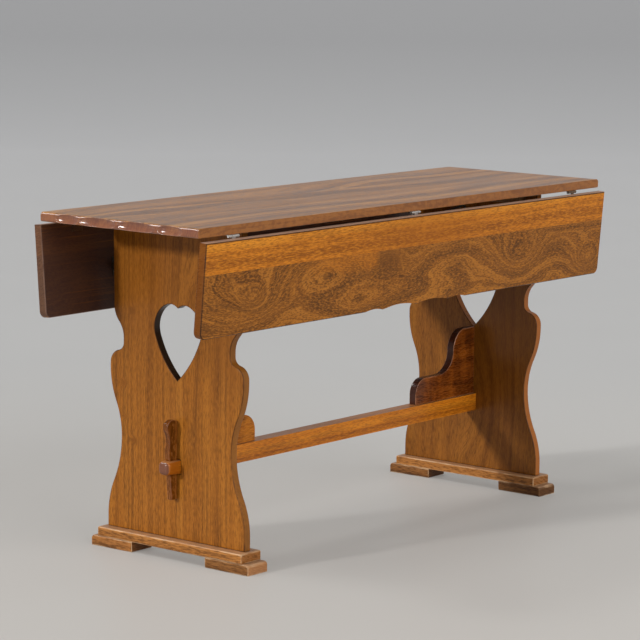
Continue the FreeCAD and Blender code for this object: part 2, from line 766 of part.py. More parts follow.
def wedge_mortise_loop():
    """Slot through the tenon whose outer wall follows the wedge's taper."""
    back = panel_outer_x - S.wedge_mortise_back
    low = tenon_bottom - S.overrun
    high = tenon_top + S.overrun
    seat_x = wedge_back_x + S.wedge_seat_width + S.wedge_clearance
    corners = [
        (back, low),
        (seat_x - wedge_slope * (tenon_top - low), low),
        (seat_x + wedge_slope * (high - tenon_top), high),
        (back, high),
    ]
    return corners, [STRAIGHT] * len(corners)


both_ends("wedge", plate_body("far_wedge", "XZ_Plane", S.wedge_thickness, wedge_loop()))
far_mortise = plate_body("far_wedge_mortise", "XZ_Plane", S.wedge_thickness + S.wedge_clearance * 2,
                         wedge_mortise_loop())
far_dowels = compound("far_dowels", *[
    rod(f"far_dowel_{number}", S.dowel_radius,
        (panel_inner_x - S.brace_length * share, 0, S.stretcher_top - S.dowel_length / 2),
        S.dowel_length, "z")
    for number, share in enumerate(DOWEL_PLACE_SHARES, start=1)])
dowels = keep("brace_dowels", compound("brace_dowels", far_dowels, mirrored("near_dowels", far_dowels, "x")))
stretcher = fuse(
    "stretcher_blank",
    box("stretcher_beam", (-panel_inner_x, -S.stretcher_thickness / 2, stretcher_bottom),
        (panel_inner_x * 2, S.stretcher_thickness, S.stretcher_height)),
    box("stretcher_tenons", (-tenon_end_x, -S.tenon_thickness / 2, tenon_bottom),
        (tenon_end_x * 2, S.tenon_thickness, S.tenon_height)),
)
tenon_nose_x = (tenon_end_x - S.tenon_round).value
stretcher = rounded("stretcher_noses", stretcher, S.tenon_round,
                    lambda edge: edge.XMin > tenon_nose_x or edge.XMax < -tenon_nose_x)
near_mortise = mirrored("near_wedge_mortise", far_mortise, "x")
keep("stretcher", cut("stretcher", stretcher, far_mortise, near_mortise, dowels))


def brace_loop():
    """Rounded toe on the stretcher, hollow, and a rounded crest against the panel."""
    toe_x = panel_inner_x - S.brace_length
    toe_z = S.stretcher_top + S.brace_toe_height
    crest_z = S.stretcher_top + S.brace_height
    neck_z = toe_z + S.brace_hollow_radius
    neck_x = panel_inner_x - S.brace_neck_width
    crest_run = S.brace_neck_width - S.brace_crest_width
    crest_drop = crest_z - neck_z
    crest_radius = (crest_run * crest_run + crest_drop * crest_drop) / (crest_run * 2)
    corners = [
        (toe_x, S.stretcher_top),
        (panel_inner_x, S.stretcher_top),
        (panel_inner_x, crest_z),
        (panel_inner_x - S.brace_crest_width, crest_z),
        (neck_x, neck_z),
        (neck_x - S.brace_hollow_radius, toe_z),
        (toe_x + S.brace_toe_radius, toe_z),
        (toe_x, toe_z - S.brace_toe_radius),
    ]
    edges = [STRAIGHT, STRAIGHT, STRAIGHT, (1, crest_radius), (-1, S.brace_hollow_radius), STRAIGHT,
             (1, S.brace_toe_radius), STRAIGHT]
    return corners, edges


brace = plate_body("brace_blank", "XZ_Plane", S.brace_thickness, brace_loop())
both_ends("brace", cut("far_brace", brace, far_dowels))


# Leaf hinges, drawn with the rear leaf raised

knuckle_length = (S.hinge_length - S.knuckle_gap * 2) / 3
pins = []
for name, place in zip(hinge_names, hinge_places):
    low_x = place - S.hinge_length / 2
    middle_x = low_x + knuckle_length + S.knuckle_gap
    last_x = low_x + S.hinge_length - knuckle_length
    plate_depth = S.hinge_plate_width - S.hinge_plate_setback
    pin = rod(f"{name}_hinge_pin", S.hinge_pin_radius, (low_x, pin_y, pin_z), S.hinge_length, "x")
    pins.append(pin)
    knuckles = []
    for number, start_x in enumerate((low_x, last_x), start=1):
        knuckles.append(rod(f"{name}_top_knuckle_{number}", S.knuckle_radius, (start_x, pin_y, pin_z),
                            knuckle_length, "x"))
        knuckles.append(box(f"{name}_top_web_{number}", (start_x, pin_y - S.hinge_plate_setback, plate_low),
                            (knuckle_length, S.hinge_plate_setback, S.hinge_plate_thickness)))
    top_plate = fuse(
        f"{name}_top_plate_blank",
        box(f"{name}_top_flap", (low_x, pin_y - S.hinge_plate_width, plate_low),
            (S.hinge_length, plate_depth, S.hinge_plate_thickness)),
        *knuckles,
    )
    both_sides(f"{name}_hinge_top_plate",
               cut(f"rear_{name}_hinge_top_plate", top_plate, pin, top_hinge_holes))
    leaf_plate = fuse(
        f"{name}_leaf_plate_blank",
        box(f"{name}_leaf_flap", (low_x, pin_y + S.hinge_plate_setback, plate_low),
            (S.hinge_length, plate_depth, S.hinge_plate_thickness)),
        rod(f"{name}_leaf_knuckle", S.knuckle_radius, (middle_x, pin_y, pin_z), knuckle_length, "x"),
        box(f"{name}_leaf_web", (middle_x, pin_y, plate_low),
            (knuckle_length, S.hinge_plate_setback, S.hinge_plate_thickness - S.knuckle_gap)),
    )
    bore = rod(f"{name}_leaf_bore", S.hinge_pin_radius + S.hinge_pin_clearance, (low_x, pin_y, pin_z),
               S.hinge_length, "x")
    both_sides(f"{name}_hinge_leaf_plate",
               hung(cut(f"rear_{name}_hinge_leaf_plate", leaf_plate, bore, leaf_hinge_holes)))
both_sides("hinge_pins", compound("rear_hinge_pins", *pins))


# Leaf, drawn raised: one slab with a scalloped outer edge, divided into its two boards

def scallop(name, centre_x, span, depth):
    """Shallow arc cut into the leaf's outer edge."""
    radius = (span * span / 4 + depth * depth) / (depth * 2)
    centre_y = leaf_edge_y + S.leaf_width + radius - depth
    return rod(name, radius, (centre_x, centre_y, underside - S.overrun),
               S.board_thickness + S.overrun * 2, "z")


leaf_half = S.leaf_length / 2
leaf = box("leaf_slab", (-leaf_half, leaf_edge_y, underside),
           (S.leaf_length, S.leaf_width, S.board_thickness))
leaf = rounded("leaf_corners", leaf, S.leaf_corner_round,
               lambda edge: edge.ZLength > S.board_thickness.value / 2 and edge.YMin > pivot_y.value)
leaf = rounded("leaf_arrises", leaf, S.leaf_edge_round, lambda edge: edge.ZLength < S.edge_round.value)
small_scallop_x = S.scallop_span + S.small_scallop_span / 2
scallops = [
    scallop("scallop_1", S.scallop_span / 2, S.scallop_span, S.scallop_depth),
    scallop("scallop_2", -S.scallop_span / 2, S.scallop_span, S.scallop_depth),
    scallop("scallop_3", small_scallop_x, S.small_scallop_span, S.small_scallop_depth),
    scallop("scallop_4", -small_scallop_x, S.small_scallop_span, S.small_scallop_depth),
]
leaf = cut("scalloped_leaf", leaf, *scallops)
leaf_joint_y = leaf_edge_y + S.leaf_inner_board_width
leaf_end_y = leaf_edge_y + S.leaf_width + S.overrun
for name, low_y, high_y, holes in (
    ("leaf_inner_board", leaf_edge_y - S.overrun, leaf_joint_y, leaf_hinge_holes),
    ("leaf_outer_board", leaf_joint_y, leaf_end_y, bracket_holes),
):
    zone = box(
        f"{name}_zone",
        (-leaf_half - S.overrun, low_y, underside - S.overrun),
        (S.leaf_length + S.overrun * 2, high_y - low_y, S.board_thickness + S.overrun * 2),
    )
    board = common(f"{name}_blank", leaf, zone)
    both_sides(name, hung(cut(f"rear_{name}", board, holes)))


# Check every object, then write one file for each piece

doc.recompute()
failed = [thing.Name for thing in doc.Objects if {"Invalid", "Error"} & set(thing.State)]
failed += [label for label, thing in pieces.items() if thing.Shape.isNull() or not thing.Shape.isValid()]
if failed:
    raise RuntimeError(f"failed: {failed}")
os.makedirs("parts", exist_ok=True)
for label, thing in pieces.items():
    thing.Shape.exportStep(f"parts/{label}.step")
print(len(pieces), "pieces written")
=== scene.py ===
"""Looks of the drop-leaf trestle table: varnished hardwood, zinc-plated steel, pale studio floor.

Metres, in the frame of the solids: +X towards the far trestle, the front leaf at -Y, +Z up.
"""
import bmesh
import bpy
import json
import math
import numpy
from mathutils import Matrix, Vector


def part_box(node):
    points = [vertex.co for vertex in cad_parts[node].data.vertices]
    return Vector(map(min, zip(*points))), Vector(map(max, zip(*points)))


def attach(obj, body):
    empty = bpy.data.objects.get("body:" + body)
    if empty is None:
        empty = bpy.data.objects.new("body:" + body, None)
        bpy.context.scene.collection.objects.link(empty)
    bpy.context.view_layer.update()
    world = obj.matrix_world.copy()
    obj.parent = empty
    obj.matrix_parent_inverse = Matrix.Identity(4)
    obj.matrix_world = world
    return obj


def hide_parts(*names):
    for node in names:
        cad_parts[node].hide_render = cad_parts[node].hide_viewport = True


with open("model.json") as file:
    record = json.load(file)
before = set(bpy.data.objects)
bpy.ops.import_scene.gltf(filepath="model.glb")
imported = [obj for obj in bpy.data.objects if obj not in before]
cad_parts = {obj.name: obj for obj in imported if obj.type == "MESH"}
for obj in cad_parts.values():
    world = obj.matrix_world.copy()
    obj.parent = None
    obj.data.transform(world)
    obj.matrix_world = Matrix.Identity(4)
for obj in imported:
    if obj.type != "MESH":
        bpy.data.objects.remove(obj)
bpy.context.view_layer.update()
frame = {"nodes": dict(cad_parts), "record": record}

MM = 0.001
BODY_OF = {node: body for body, nodes in frame["record"]["behaviour"]["bodies"].items() for node in nodes}
SLOT_OF = {item["node"]: item["material_slot"] for item in frame["record"]["subparts"]}
LEAF_LEAN = math.radians(4.6)


# Node helpers

class Shade:
    """Short calls that add nodes to one tree and join them."""

    def __init__(self, tree):
        self.tree = tree

    def add(self, kind, **settings):
        node = self.tree.nodes.new(kind)
        for name, value in settings.items():
            setattr(node, name, value)
        return node

    def feed(self, socket, value):
        if isinstance(value, bpy.types.NodeSocket):
            self.tree.links.new(value, socket)
        else:
            socket.default_value = value

    def math(self, operation, *terms):
        node = self.add("ShaderNodeMath", operation=operation)
        for socket, term in zip(node.inputs, terms):
            self.feed(socket, term)
        return node.outputs[0]

    def plus(self, first, *others):
        for other in others:
            first = self.math("ADD", first, other)
        return first

    def times(self, first, *others):
        for other in others:
            first = self.math("MULTIPLY", first, other)
        return first

    def spread(self, value, low, high, new_low=0.0, new_high=1.0):
        """Map a range smoothly onto another, held at both ends."""
        node = self.add("ShaderNodeMapRange", interpolation_type="SMOOTHSTEP")
        for socket, item in zip(node.inputs, (value, low, high, new_low, new_high)):
            self.feed(socket, item)
        return node.outputs[0]

    def vector(self, *parts):
        node = self.add("ShaderNodeCombineXYZ")
        for socket, item in zip(node.inputs, parts):
            self.feed(socket, item)
        return node.outputs[0]

    def parts(self, vector):
        node = self.add("ShaderNodeSeparateXYZ")
        self.feed(node.inputs[0], vector)
        return node.outputs[:3]

    def scaled(self, vector, factors):
        node = self.add("ShaderNodeVectorMath", operation="MULTIPLY")
        self.feed(node.inputs[0], vector)
        node.inputs[1].default_value = factors
        return node.outputs[0]

    def noise(self, vector, scale=1.0, detail=2.0, roughness=0.5):
        node = self.add("ShaderNodeTexNoise", noise_dimensions="3D")
        self.feed(node.inputs["Vector"], vector)
        for name, item in (("Scale", scale), ("Detail", detail), ("Roughness", roughness)):
            node.inputs[name].default_value = item
        return node.outputs["Fac"]

    def line_noise(self, place, scale, detail, roughness=0.5):
        """Noise that changes along one line only."""
        node = self.add("ShaderNodeTexNoise", noise_dimensions="1D")
        self.feed(node.inputs["W"], place)
        for name, item in (("Scale", scale), ("Detail", detail), ("Roughness", roughness)):
            node.inputs[name].default_value = item
        return node.outputs["Fac"]

    def ramp(self, value, stops):
        """Colour ramp through (place, colour) stops."""
        node = self.add("ShaderNodeValToRGB")
        elements = node.color_ramp.elements
        while len(elements) < len(stops):
            elements.new(0.5)
        for element, (place, colour) in zip(elements, stops):
            element.position = place
            element.color = (*colour, 1.0)
        self.feed(node.inputs[0], value)
        return node.outputs[0]

    def blend(self, share, first, second):
        node = self.add("ShaderNodeMix", data_type="RGBA")
        self.feed(node.inputs[0], share)
        for socket, item in ((node.inputs[6], first), (node.inputs[7], second)):
            self.feed(socket, item if isinstance(item, bpy.types.NodeSocket) else (*item, 1.0))
        return node.outputs[2]

    def mark(self, name):
        """Share of a face mark that the piece's mesh carries."""
        return self.add("ShaderNodeAttribute", attribute_name=name).outputs["Fac"]

    def bump(self, shader, height, strength, distance):
        node = self.add("ShaderNodeBump")
        node.inputs["Strength"].default_value = strength
        node.inputs["Distance"].default_value = distance
        self.feed(node.inputs["Height"], height)
        self.feed(shader.inputs["Normal"], node.outputs[0])


def new_material(name):
    """A material with a plain surface shader, and the means to build on it."""
    material = bpy.data.materials.new(name)
    material.use_nodes = True
    material.node_tree.nodes.clear()
    shade = Shade(material.node_tree)
    shader = shade.add("ShaderNodeBsdfPrincipled")
    output = shade.add("ShaderNodeOutputMaterial")
    shade.tree.links.new(shader.outputs[0], output.inputs[0])
    return material, shade, shader


# Wood finishes

# Axes of a board: along the grain, across its face, through its thickness
ALONG_X = (0, 1, 2)
ALONG_X_UPRIGHT = (0, 2, 1)
ALONG_Y = (1, 2, 0)
ALONG_Z = (2, 1, 0)

# How the grain of an ordinary board runs, changed board by board below
STRAIGHT_GRAIN = {
    "face": 0.7,                        # climb of the grain field across the face
    "depth": 0.6,                       # climb through the thickness
    "sway": 0.012,                      # long waves of the grain
    "sway_stretch": (1.1, 5.0, 5.0),
    "wobble": 0.0022,                   # short waves
    "wobble_stretch": (9.0, 40.0, 40.0),
    "bands": 55.0,                      # broad colour bands to a metre of field
    "band_spread": 0.34,                # wider is gentler
    "lines": 170.0,                     # thin dark growth lines
    "line_width": 0.10,
    "line_share": 0.55,
    "pale_lines": (40.0, 0.0),          # number and share of pale lines
    "fleck": (70.0, 420.0),             # short flecks along and across the grain
    "fleck_share": 0.40,
    "patch_share": 0.35,
    "pore_share": 0.5,
    "hills": (),                        # (along, across, length, width, height, dimming: knots and stains, and painted shade on the panels)
    "ribbon": 0.0,                      # cross bands of a wavy-grained board
    "gloss": (0.30, 0.46),              # least and most roughness
    "shine": 0.14,
    "coat": 0.10,
    "rim": ((0.42, 0.24, 0.12), 0.45, 0.2),   # colour and share of the arrises, least share of it
    "end": (None, 0.5, 0.08),           # colour, dark where none is named, share and gloss of end grain
    "edge": ((0.44, 0.26, 0.15), 0.5),  # colour and share of an edge, or of the upper side of a foot
    "lip": None,                        # (place across, share) of a dark line along the upper edge of a leaf
    "grime": 0.0,                       # height above the floor below which the wood gets darker towards the bottom
    "back": None,                       # (place through the board, its sign, colour) of a dark back
    "sap": None,                        # (start, end, across, colour) limits of the pale sapwood
}

# Stretch of the finer patterns along the grain, across it and through the board
PATCH_STRETCH = (2.4, 8.0, 8.0)
FADING_STRETCH = (6.0, 60.0, 60.0)
RIBBON_STRETCH = (34.0, 10.0, 10.0)
SAWN_STRETCH = (3.0, 240.0, 60.0)
WORN_STRETCH = (22.0, 40.0, 40.0)
PORES_ALONG = 45.0
PORES_ACROSS = 1100.0
FLECK_THINNESS = 0.75
FLECK_DRIFT = 0.6

# Limits between which a pattern fades in: its start and its full strength
DARK_PATCH = (0.46, 0.28)
LIGHT_PATCH = (0.54, 0.74)
FADING_LINE = (0.36, 0.60)
DARK_FLECK = (0.50, 0.36)
LIGHT_FLECK = (0.50, 0.64)
SAP_FLECK = (0.62, 0.40)
OPEN_PORE = (0.40, 0.31)
DARK_RIBBON = (0.55, 0.40)
LIGHT_RIBBON = (0.52, 0.68)
SAWN_MARK = (0.56, 0.75)
RUBBED_AND_HIGHLIT_SPOT = (0.38, 0.62)
DULL_SPOT = (0.32, 0.68)

# Shares and depths that all boards have in common
DEEP_SHARE = 0.45
PALE_LINE_WIDTH = 0.05
SAP_SHARE = 0.6
SAP_SWAY = 0.05
SAP_WOBBLE = 0.03
BACK_SHARE = 0.9
SAWN_SHARE = 0.40
BOTTOM_DARK_SHARE = 0.75
BOTTOM_DARK_WOBBLE = 0.02
# Painted shade on the inner walls of the near heart, where the front leaf keeps the light off
HEART_SHADE_TONE = (0.018, 0.013, 0.011)
HEART_SHADE_SHARE = 0.88
RUBBED_GLOSS = 0.08
COAT_ROUGHNESS = 0.16
GRAIN_BUMP = 0.25
GRAIN_RELIEF = 0.35 * MM


def board_place(shade, axes, seed, tilt):
    """Place in the board: along the grain, across the face, through the thickness."""
    place = shade.add("ShaderNodeTexCoord").outputs["Object"]
    if tilt:
        turn = shade.add("ShaderNodeMapping")
        turn.inputs["Rotation"].default_value = (tilt, 0.0, 0.0)
        shade.feed(turn.inputs["Vector"], place)
        place = turn.outputs[0]
    parts = shade.parts(place)
    return [shade.plus(parts[axis], shift) for axis, shift in zip(axes, seed)]


def hill(shade, along, across, spot):
    """Smooth round rise, 1 at its middle."""
    middle_along, middle_across, length, width = spot
    runs = []
    for place, middle, size in ((along, middle_along, length), (across, middle_across, width)):
        run = shade.math("DIVIDE", shade.math("SUBTRACT", place, middle), size)
        runs.append(shade.times(run, run))
    return shade.math("EXPONENT", shade.times(shade.plus(*runs), -1.0))


class Board:
    """One board's finish in the making: its grain field first, then its colour from the wood to the wear and
    the painted light.
    """

    def __init__(self, name, tones, axes, seed, tilt, grain):
        self.grain = grain
        self.dark, self.middle, self.light = tones
        self.deep = [DEEP_SHARE * item for item in self.dark]
        self.material, self.shade, self.shader = new_material(name)
        self.along, self.across, self.through = board_place(self.shade, axes, seed, tilt)
        self.place = self.shade.vector(self.along, self.across, self.through)
        self.swayed = self.wave("sway_stretch")
        self.wobbled = self.wave("wobble_stretch")
        self.dimmed_spots = []
        self.field = self.grain_field()
        self.bent = self.shade.vector(self.along, self.field, self.through)
        self.patch = self.shade.noise(self.shade.scaled(self.place, PATCH_STRETCH))
        self.fleck = self.fleck_noise()
        self.pores = self.pore_marks()
        self.ends = self.shade.mark("end_grain")
        self.arris = self.rubbed_and_highlit_arrises()

    def wave(self, stretch):
        """Smooth noise around nought."""
        noise = self.shade.noise(self.shade.scaled(self.place, self.grain[stretch]))
        return self.shade.math("SUBTRACT", noise, 0.5)

    def grain_field(self):
        """Field whose level lines are the grain; keeps the darkening of its hills: knots and stains, and
        painted shade on the panels.
        """
        shade, grain = self.shade, self.grain
        field = shade.plus(
            shade.times(self.across, grain["face"]), shade.times(self.through, grain["depth"]),
            shade.times(self.swayed, 2.0 * grain["sway"]), shade.times(self.wobbled, 2.0 * grain["wobble"]))
        for *spot, height, dimming in grain["hills"]:
            rise = hill(shade, self.along, self.across, spot)
            if height:
                field = shade.plus(shade.times(rise, height), field)
            if dimming:
                self.dimmed_spots.append(shade.times(rise, dimming))
        return field

    def fleck_noise(self):
        """Short flecks that lean with the grain."""
        shade = self.shade
        fleck_along, fleck_across = self.grain["fleck"]
        drift = shade.plus(self.across, shade.times(self.field, FLECK_DRIFT))
        curled = shade.vector(self.along, drift, self.through)
        stretch = (fleck_along, FLECK_THINNESS * fleck_across, fleck_along)
        return shade.noise(shade.scaled(curled, stretch), 1.0, 2.0, 0.6)

    def pore_marks(self):
        """Fine open pores along the grain."""
        shade = self.shade
        stretch = (PORES_ALONG, PORES_ACROSS / self.grain["face"], PORES_ACROSS)
        pore = shade.noise(shade.scaled(self.bent, stretch), 1.0, 1.0, 0.5)
        return shade.spread(pore, *OPEN_PORE, 0.0, self.grain["pore_share"])

    def rubbed_and_highlit_arrises(self):
        """Share of the arrises that take the rim colour: wear that hands and feet have rubbed, and a painted
        highlight on the top and the rear leaf.
        """
        shade = self.shade
        wear_and_painted_light = shade.noise(shade.scaled(self.place, WORN_STRETCH), 1.0, 3.0)
        least = self.grain["rim"][2]
        return shade.times(shade.mark("arris"), shade.spread(wear_and_painted_light, *RUBBED_AND_HIGHLIT_SPOT, least, 1.0))

    def tinted(self, colour, noise, low, high, share, low_tone):
        """The colour with darker and lighter spots of a noise."""
        shade = self.shade
        colour = shade.blend(shade.spread(noise, *low, 0.0, share), colour, low_tone)
        return shade.blend(shade.spread(noise, *high, 0.0, share), colour, self.light)

    def crossings(self, number, width):
        """Thin lines where a noise along the field passes its middle."""
        shade = self.shade
        off = shade.math("ABSOLUTE", shade.math("SUBTRACT", shade.line_noise(self.field, number, 1.0), 0.5))
        return shade.spread(off, 0.0, width, 1.0, 0.0)

    def grown(self):
        """Colour of the wood: bands, patches, growth lines, flecks, pores, ribbons, and the darkening of the
        hills, with painted shade on the panels.
        """
        shade, grain = self.shade, self.grain
        band = shade.line_noise(self.field, grain["bands"], 3.0, 0.55)
        half = grain["band_spread"]
        colour = shade.ramp(shade.spread(band, 0.5 - half, 0.5 + half),
                            ((0.0, self.dark), (0.5, self.middle), (1.0, self.light)))
        colour = self.tinted(colour, self.patch, DARK_PATCH, LIGHT_PATCH, grain["patch_share"], self.dark)
        fading = shade.spread(shade.noise(shade.scaled(self.bent, FADING_STRETCH)), *FADING_LINE)
        thin = self.crossings(grain["lines"], grain["line_width"])
        colour = shade.blend(shade.times(thin, fading, grain["line_share"]), colour, self.deep)
        pale_lines, pale_share = grain["pale_lines"]
        if pale_share:
            glint = shade.times(self.crossings(pale_lines, PALE_LINE_WIDTH), shade.spread(fading, 1.0, 0.0))
            colour = shade.blend(shade.times(glint, pale_share), colour, self.light)
        colour = self.tinted(colour, self.fleck, DARK_FLECK, LIGHT_FLECK, grain["fleck_share"], self.deep)
        colour = shade.blend(self.pores, colour, self.deep)
        if grain["ribbon"]:
            wave = shade.noise(shade.scaled(self.place, RIBBON_STRETCH), 1.0, 2.0, 0.5)
            colour = self.tinted(colour, wave, DARK_RIBBON, LIGHT_RIBBON, grain["ribbon"], self.deep)
        # Darkening of the hills: knots and stains, and painted shade on the panels
        for dimming in self.dimmed_spots:
            colour = shade.blend(dimming, colour, self.dark)
        return colour

    def sapwood(self, colour):
        """Pale ragged strip beside the bark."""
        shade = self.shade
        start, end, edge, tone = self.grain["sap"]
        ragged = shade.plus(
            self.across, shade.times(self.swayed, SAP_SWAY), shade.times(self.wobbled, SAP_WOBBLE))
        sap = shade.times(shade.spread(ragged, edge - 14.0 * MM, edge + 10.0 * MM),
                          shade.spread(self.along, start - 60.0 * MM, start + 60.0 * MM),
                          shade.spread(self.along, end + 6.0 * MM, end - 6.0 * MM))
        flecked = shade.blend(shade.spread(self.fleck, *SAP_FLECK, 0.0, 0.5), tone, self.dark)
        return shade.blend(shade.times(sap, SAP_SHARE), colour, flecked)

    def darkened_back(self, colour):
        """Dark back with saw marks."""
        shade = self.shade
        start, sign, tone = self.grain["back"]
        backing = shade.spread(shade.times(self.through, sign), start, start + 1.0 * MM, 0.0, BACK_SHARE)
        sawn = shade.noise(shade.scaled(self.place, SAWN_STRETCH), 1.0, 2.0, 0.6)
        marked = shade.blend(shade.spread(sawn, *SAWN_MARK, 0.0, SAWN_SHARE), tone, self.middle)
        return shade.blend(backing, colour, marked)

    def wear_and_painted_light(self, colour):
        """The colour with its edges, a darker bottom, end grain, painted shade in the near heart, and its
        arrises rubbed, with a painted highlight on the top and the rear leaf.
        """
        shade, grain = self.shade, self.grain
        if grain["lip"]:
            start, share = grain["lip"]
            line = shade.spread(self.across, start, start + 1.0 * MM, 0.0, share)
            colour = shade.blend(line, colour, self.deep)
        edge_tone, edge_share = grain["edge"]
        colour = shade.blend(shade.times(shade.mark("board_edge"), edge_share), colour, edge_tone)
        if grain["grime"]:
            height = shade.parts(shade.add("ShaderNodeTexCoord").outputs["Object"])[2]
            wavy_height = shade.plus(height, shade.times(self.wobbled, BOTTOM_DARK_WOBBLE))
            low_dark_share = shade.spread(wavy_height, grain["grime"], 0.0, 0.0, BOTTOM_DARK_SHARE)
            colour = shade.blend(low_dark_share, colour, self.deep)
        end_tone, end_share, _ = grain["end"]
        colour = shade.blend(shade.times(self.ends, end_share), colour, end_tone or self.dark)
        # Painted shade on the inner walls of the near heart
        colour = shade.blend(shade.times(shade.mark("hollow"), HEART_SHADE_SHARE), colour, HEART_SHADE_TONE)
        # Rim colour on the arrises: rubbed wear, and a painted highlight on the top and the rear leaf
        rim_tone, rim_share, _ = grain["rim"]
        return shade.blend(shade.times(self.arris, rim_share), colour, rim_tone)

    def varnish(self):
        """Gloss that varies with the wood, a thin coat and a fine relief."""
        shade, shader, grain = self.shade, self.shader, self.grain
        sheen = shade.plus(shade.times(self.fleck, 0.5), shade.times(self.patch, 0.5))
        end_gloss = grain["end"][2]
        shade.feed(shader.inputs["Roughness"], shade.plus(
            shade.spread(sheen, *DULL_SPOT, *grain["gloss"]),
            shade.times(self.arris, -RUBBED_GLOSS), shade.times(self.ends, -end_gloss)))
        shader.inputs["Specular IOR Level"].default_value = grain["shine"]
        shader.inputs["Coat Weight"].default_value = grain["coat"]
        shader.inputs["Coat Roughness"].default_value = COAT_ROUGHNESS
        relief = shade.plus(shade.times(self.fleck, 0.6), shade.times(self.pores, -0.7))
        shade.bump(shader, relief, GRAIN_BUMP, GRAIN_RELIEF)


def hardwood(name, tones, axes=ALONG_X, seed=(0.0, 0.0, 0.0), tilt=0.0, **changes):
    """Varnished hardwood whose grain lines are the level lines of a wavy field."""
    board = Board(name, tones, axes, seed, tilt, {**STRAIGHT_GRAIN, **changes})
    colour = board.grown()
    if board.grain["sap"]:
        colour = board.sapwood(colour)
    if board.grain["back"]:
        colour = board.darkened_back(colour)
    board.shade.feed(board.shader.inputs["Base Color"], board.wear_and_painted_light(colour))
    board.varnish()
    return board.material


# Tones of the wood as (dark, middle, light)
TOP_TONES = ((0.140, 0.047, 0.008), (0.330, 0.126, 0.021), (0.49, 0.208, 0.040))
HONEY_TONES = ((0.30, 0.086, 0.004), (0.50, 0.156, 0.008), (0.68, 0.250, 0.018))
FIGURED_TONES = ((0.170, 0.056, 0.006), (0.268, 0.090, 0.009), (0.41, 0.150, 0.018))
PANEL_TONES = ((0.175, 0.055, 0.005), (0.285, 0.096, 0.009), (0.36, 0.130, 0.014))
BRACE_TONES = ((0.060, 0.012, 0.0020), (0.155, 0.034, 0.0035), (0.27, 0.072, 0.007))
RAIL_TONES = ((0.18, 0.062, 0.012), (0.31, 0.118, 0.025), (0.40, 0.165, 0.040))
PAD_TONES = ((0.125, 0.044, 0.010), (0.235, 0.088, 0.020), (0.33, 0.138, 0.038))
STRETCHER_TONES = ((0.31, 0.082, 0.004), (0.52, 0.155, 0.006), (0.64, 0.220, 0.012))
WEDGE_TONES = ((0.120, 0.033, 0.004), (0.225, 0.068, 0.009), (0.31, 0.105, 0.016))
HIDDEN_TONES = ((0.11, 0.055, 0.024), (0.21, 0.11, 0.048), (0.30, 0.17, 0.075))
DARK_BACK_TONE = (0.054, 0.028, 0.024)
LEAF_END_TONES = {"front": (0.135, 0.038, 0.002), "rear": (0.085, 0.043, 0.028)}
# The far panel's lighter edge tone is painted light on its lit sawn edges and a painted highlight on its
# heart's walls
PANEL_EDGE_TONES = {"near": (0.215, 0.083, 0.016), "far": (0.38, 0.120, 0.024)}
BRACE_EDGE_TONES = {"near": (0.10, 0.034, 0.006), "far": (0.026, 0.012, 0.011)}
# Painted highlight on the rounded end of the near front pad
PAD_END_HIGHLIGHT = (0.46, 0.205, 0.080)

# How light a board is against the tones of its kind
# The far panel's lower share is painted shade on its inner face under the table
PANEL_SHARES = {"near": 1.04, "far": 0.78}
RAIL_SHARES = {"near": 1.10, "far": 1.08}
PAD_SHARES = {"front_near": 0.78, "rear_near": 1.25, "front_far": 0.62, "rear_far": 0.85}
NEAR_BRACE_SHARE = 0.8

# Rims as (colour, share, least share)
PALE_RIM = ((0.56, 0.36, 0.20), 0.62, 0.1)
# Painted highlight along the top's arrises, partly wear
PINK_HIGHLIGHT_RIM = ((0.46, 0.30, 0.22), 0.75, 0.3)
# Painted highlight along the rear leaf's arrises, partly wear
DULL_HIGHLIGHT_RIM = ((0.20, 0.115, 0.080), 0.6, 0.3)
DARK_RIM = ((0.030, 0.014, 0.008), 0.85, 0.7)
PANEL_RIM = ((0.050, 0.018, 0.006), 0.75, 0.5)
BRACE_RIM = ((0.45, 0.22, 0.12), 0.5, 0.2)
WEDGE_RIM = ((0.30, 0.12, 0.06), 0.35, 0.2)
STRETCHER_RIM = ((0.50, 0.30, 0.15), 0.5, 0.2)

# Shift of each board's pattern, so that no two boards are cut from the same place
TOP_SEEDS = {"front": (0.3, 0.0, 0.2), "middle": (2.3, 0.4, 0.6), "rear": (4.1, 0.9, 0.1)}
LEAF_SHIFTS = {"front": 0.0, "rear": 7.0}
END_SHIFTS = {"near": 0.0, "far": 3.0}
PAD_SHIFTS = {"front": 0.0, "rear": 0.5}

# Leaf places in its own turned frame: height of its upper edge, and its back face
LEAF_EDGE = 0.7282
LEAF_BACK = -0.1645
LEAF_LIP = 3.0 * MM

# Swirls of the figured board: along the leaf, drop from its upper edge, length, width, height, stain
LEAF_SWIRLS = (
    (-0.560, 0.125, 0.040, 0.024, 0.032, 0.20),
    (-0.575, 0.130, 0.120, 0.060, 0.050, 0.0),
    (-0.340, 0.090, 0.130, 0.045, -0.030, 0.0),
    (-0.105, 0.088, 0.055, 0.028, -0.018, 0.55),
    (-0.190, 0.165, 0.150, 0.030, 0.030, 0.0),
    (0.130, 0.110, 0.120, 0.050, -0.030, 0.0),
    (0.390, 0.120, 0.080, 0.045, 0.040, 0.0),
    (0.672, 0.156, 0.060, 0.036, 0.045, 0.15),
)
LEAF_HILLS = tuple((along, LEAF_EDGE - drop, *rest) for along, drop, *rest in LEAF_SWIRLS)
HONEY_SHADE = (0.03, LEAF_EDGE - 0.033, 0.22, 0.30, 0.0, 0.45)
FIGURED_SAP = (-0.36, -0.155, LEAF_EDGE - 0.100, HONEY_TONES[1])

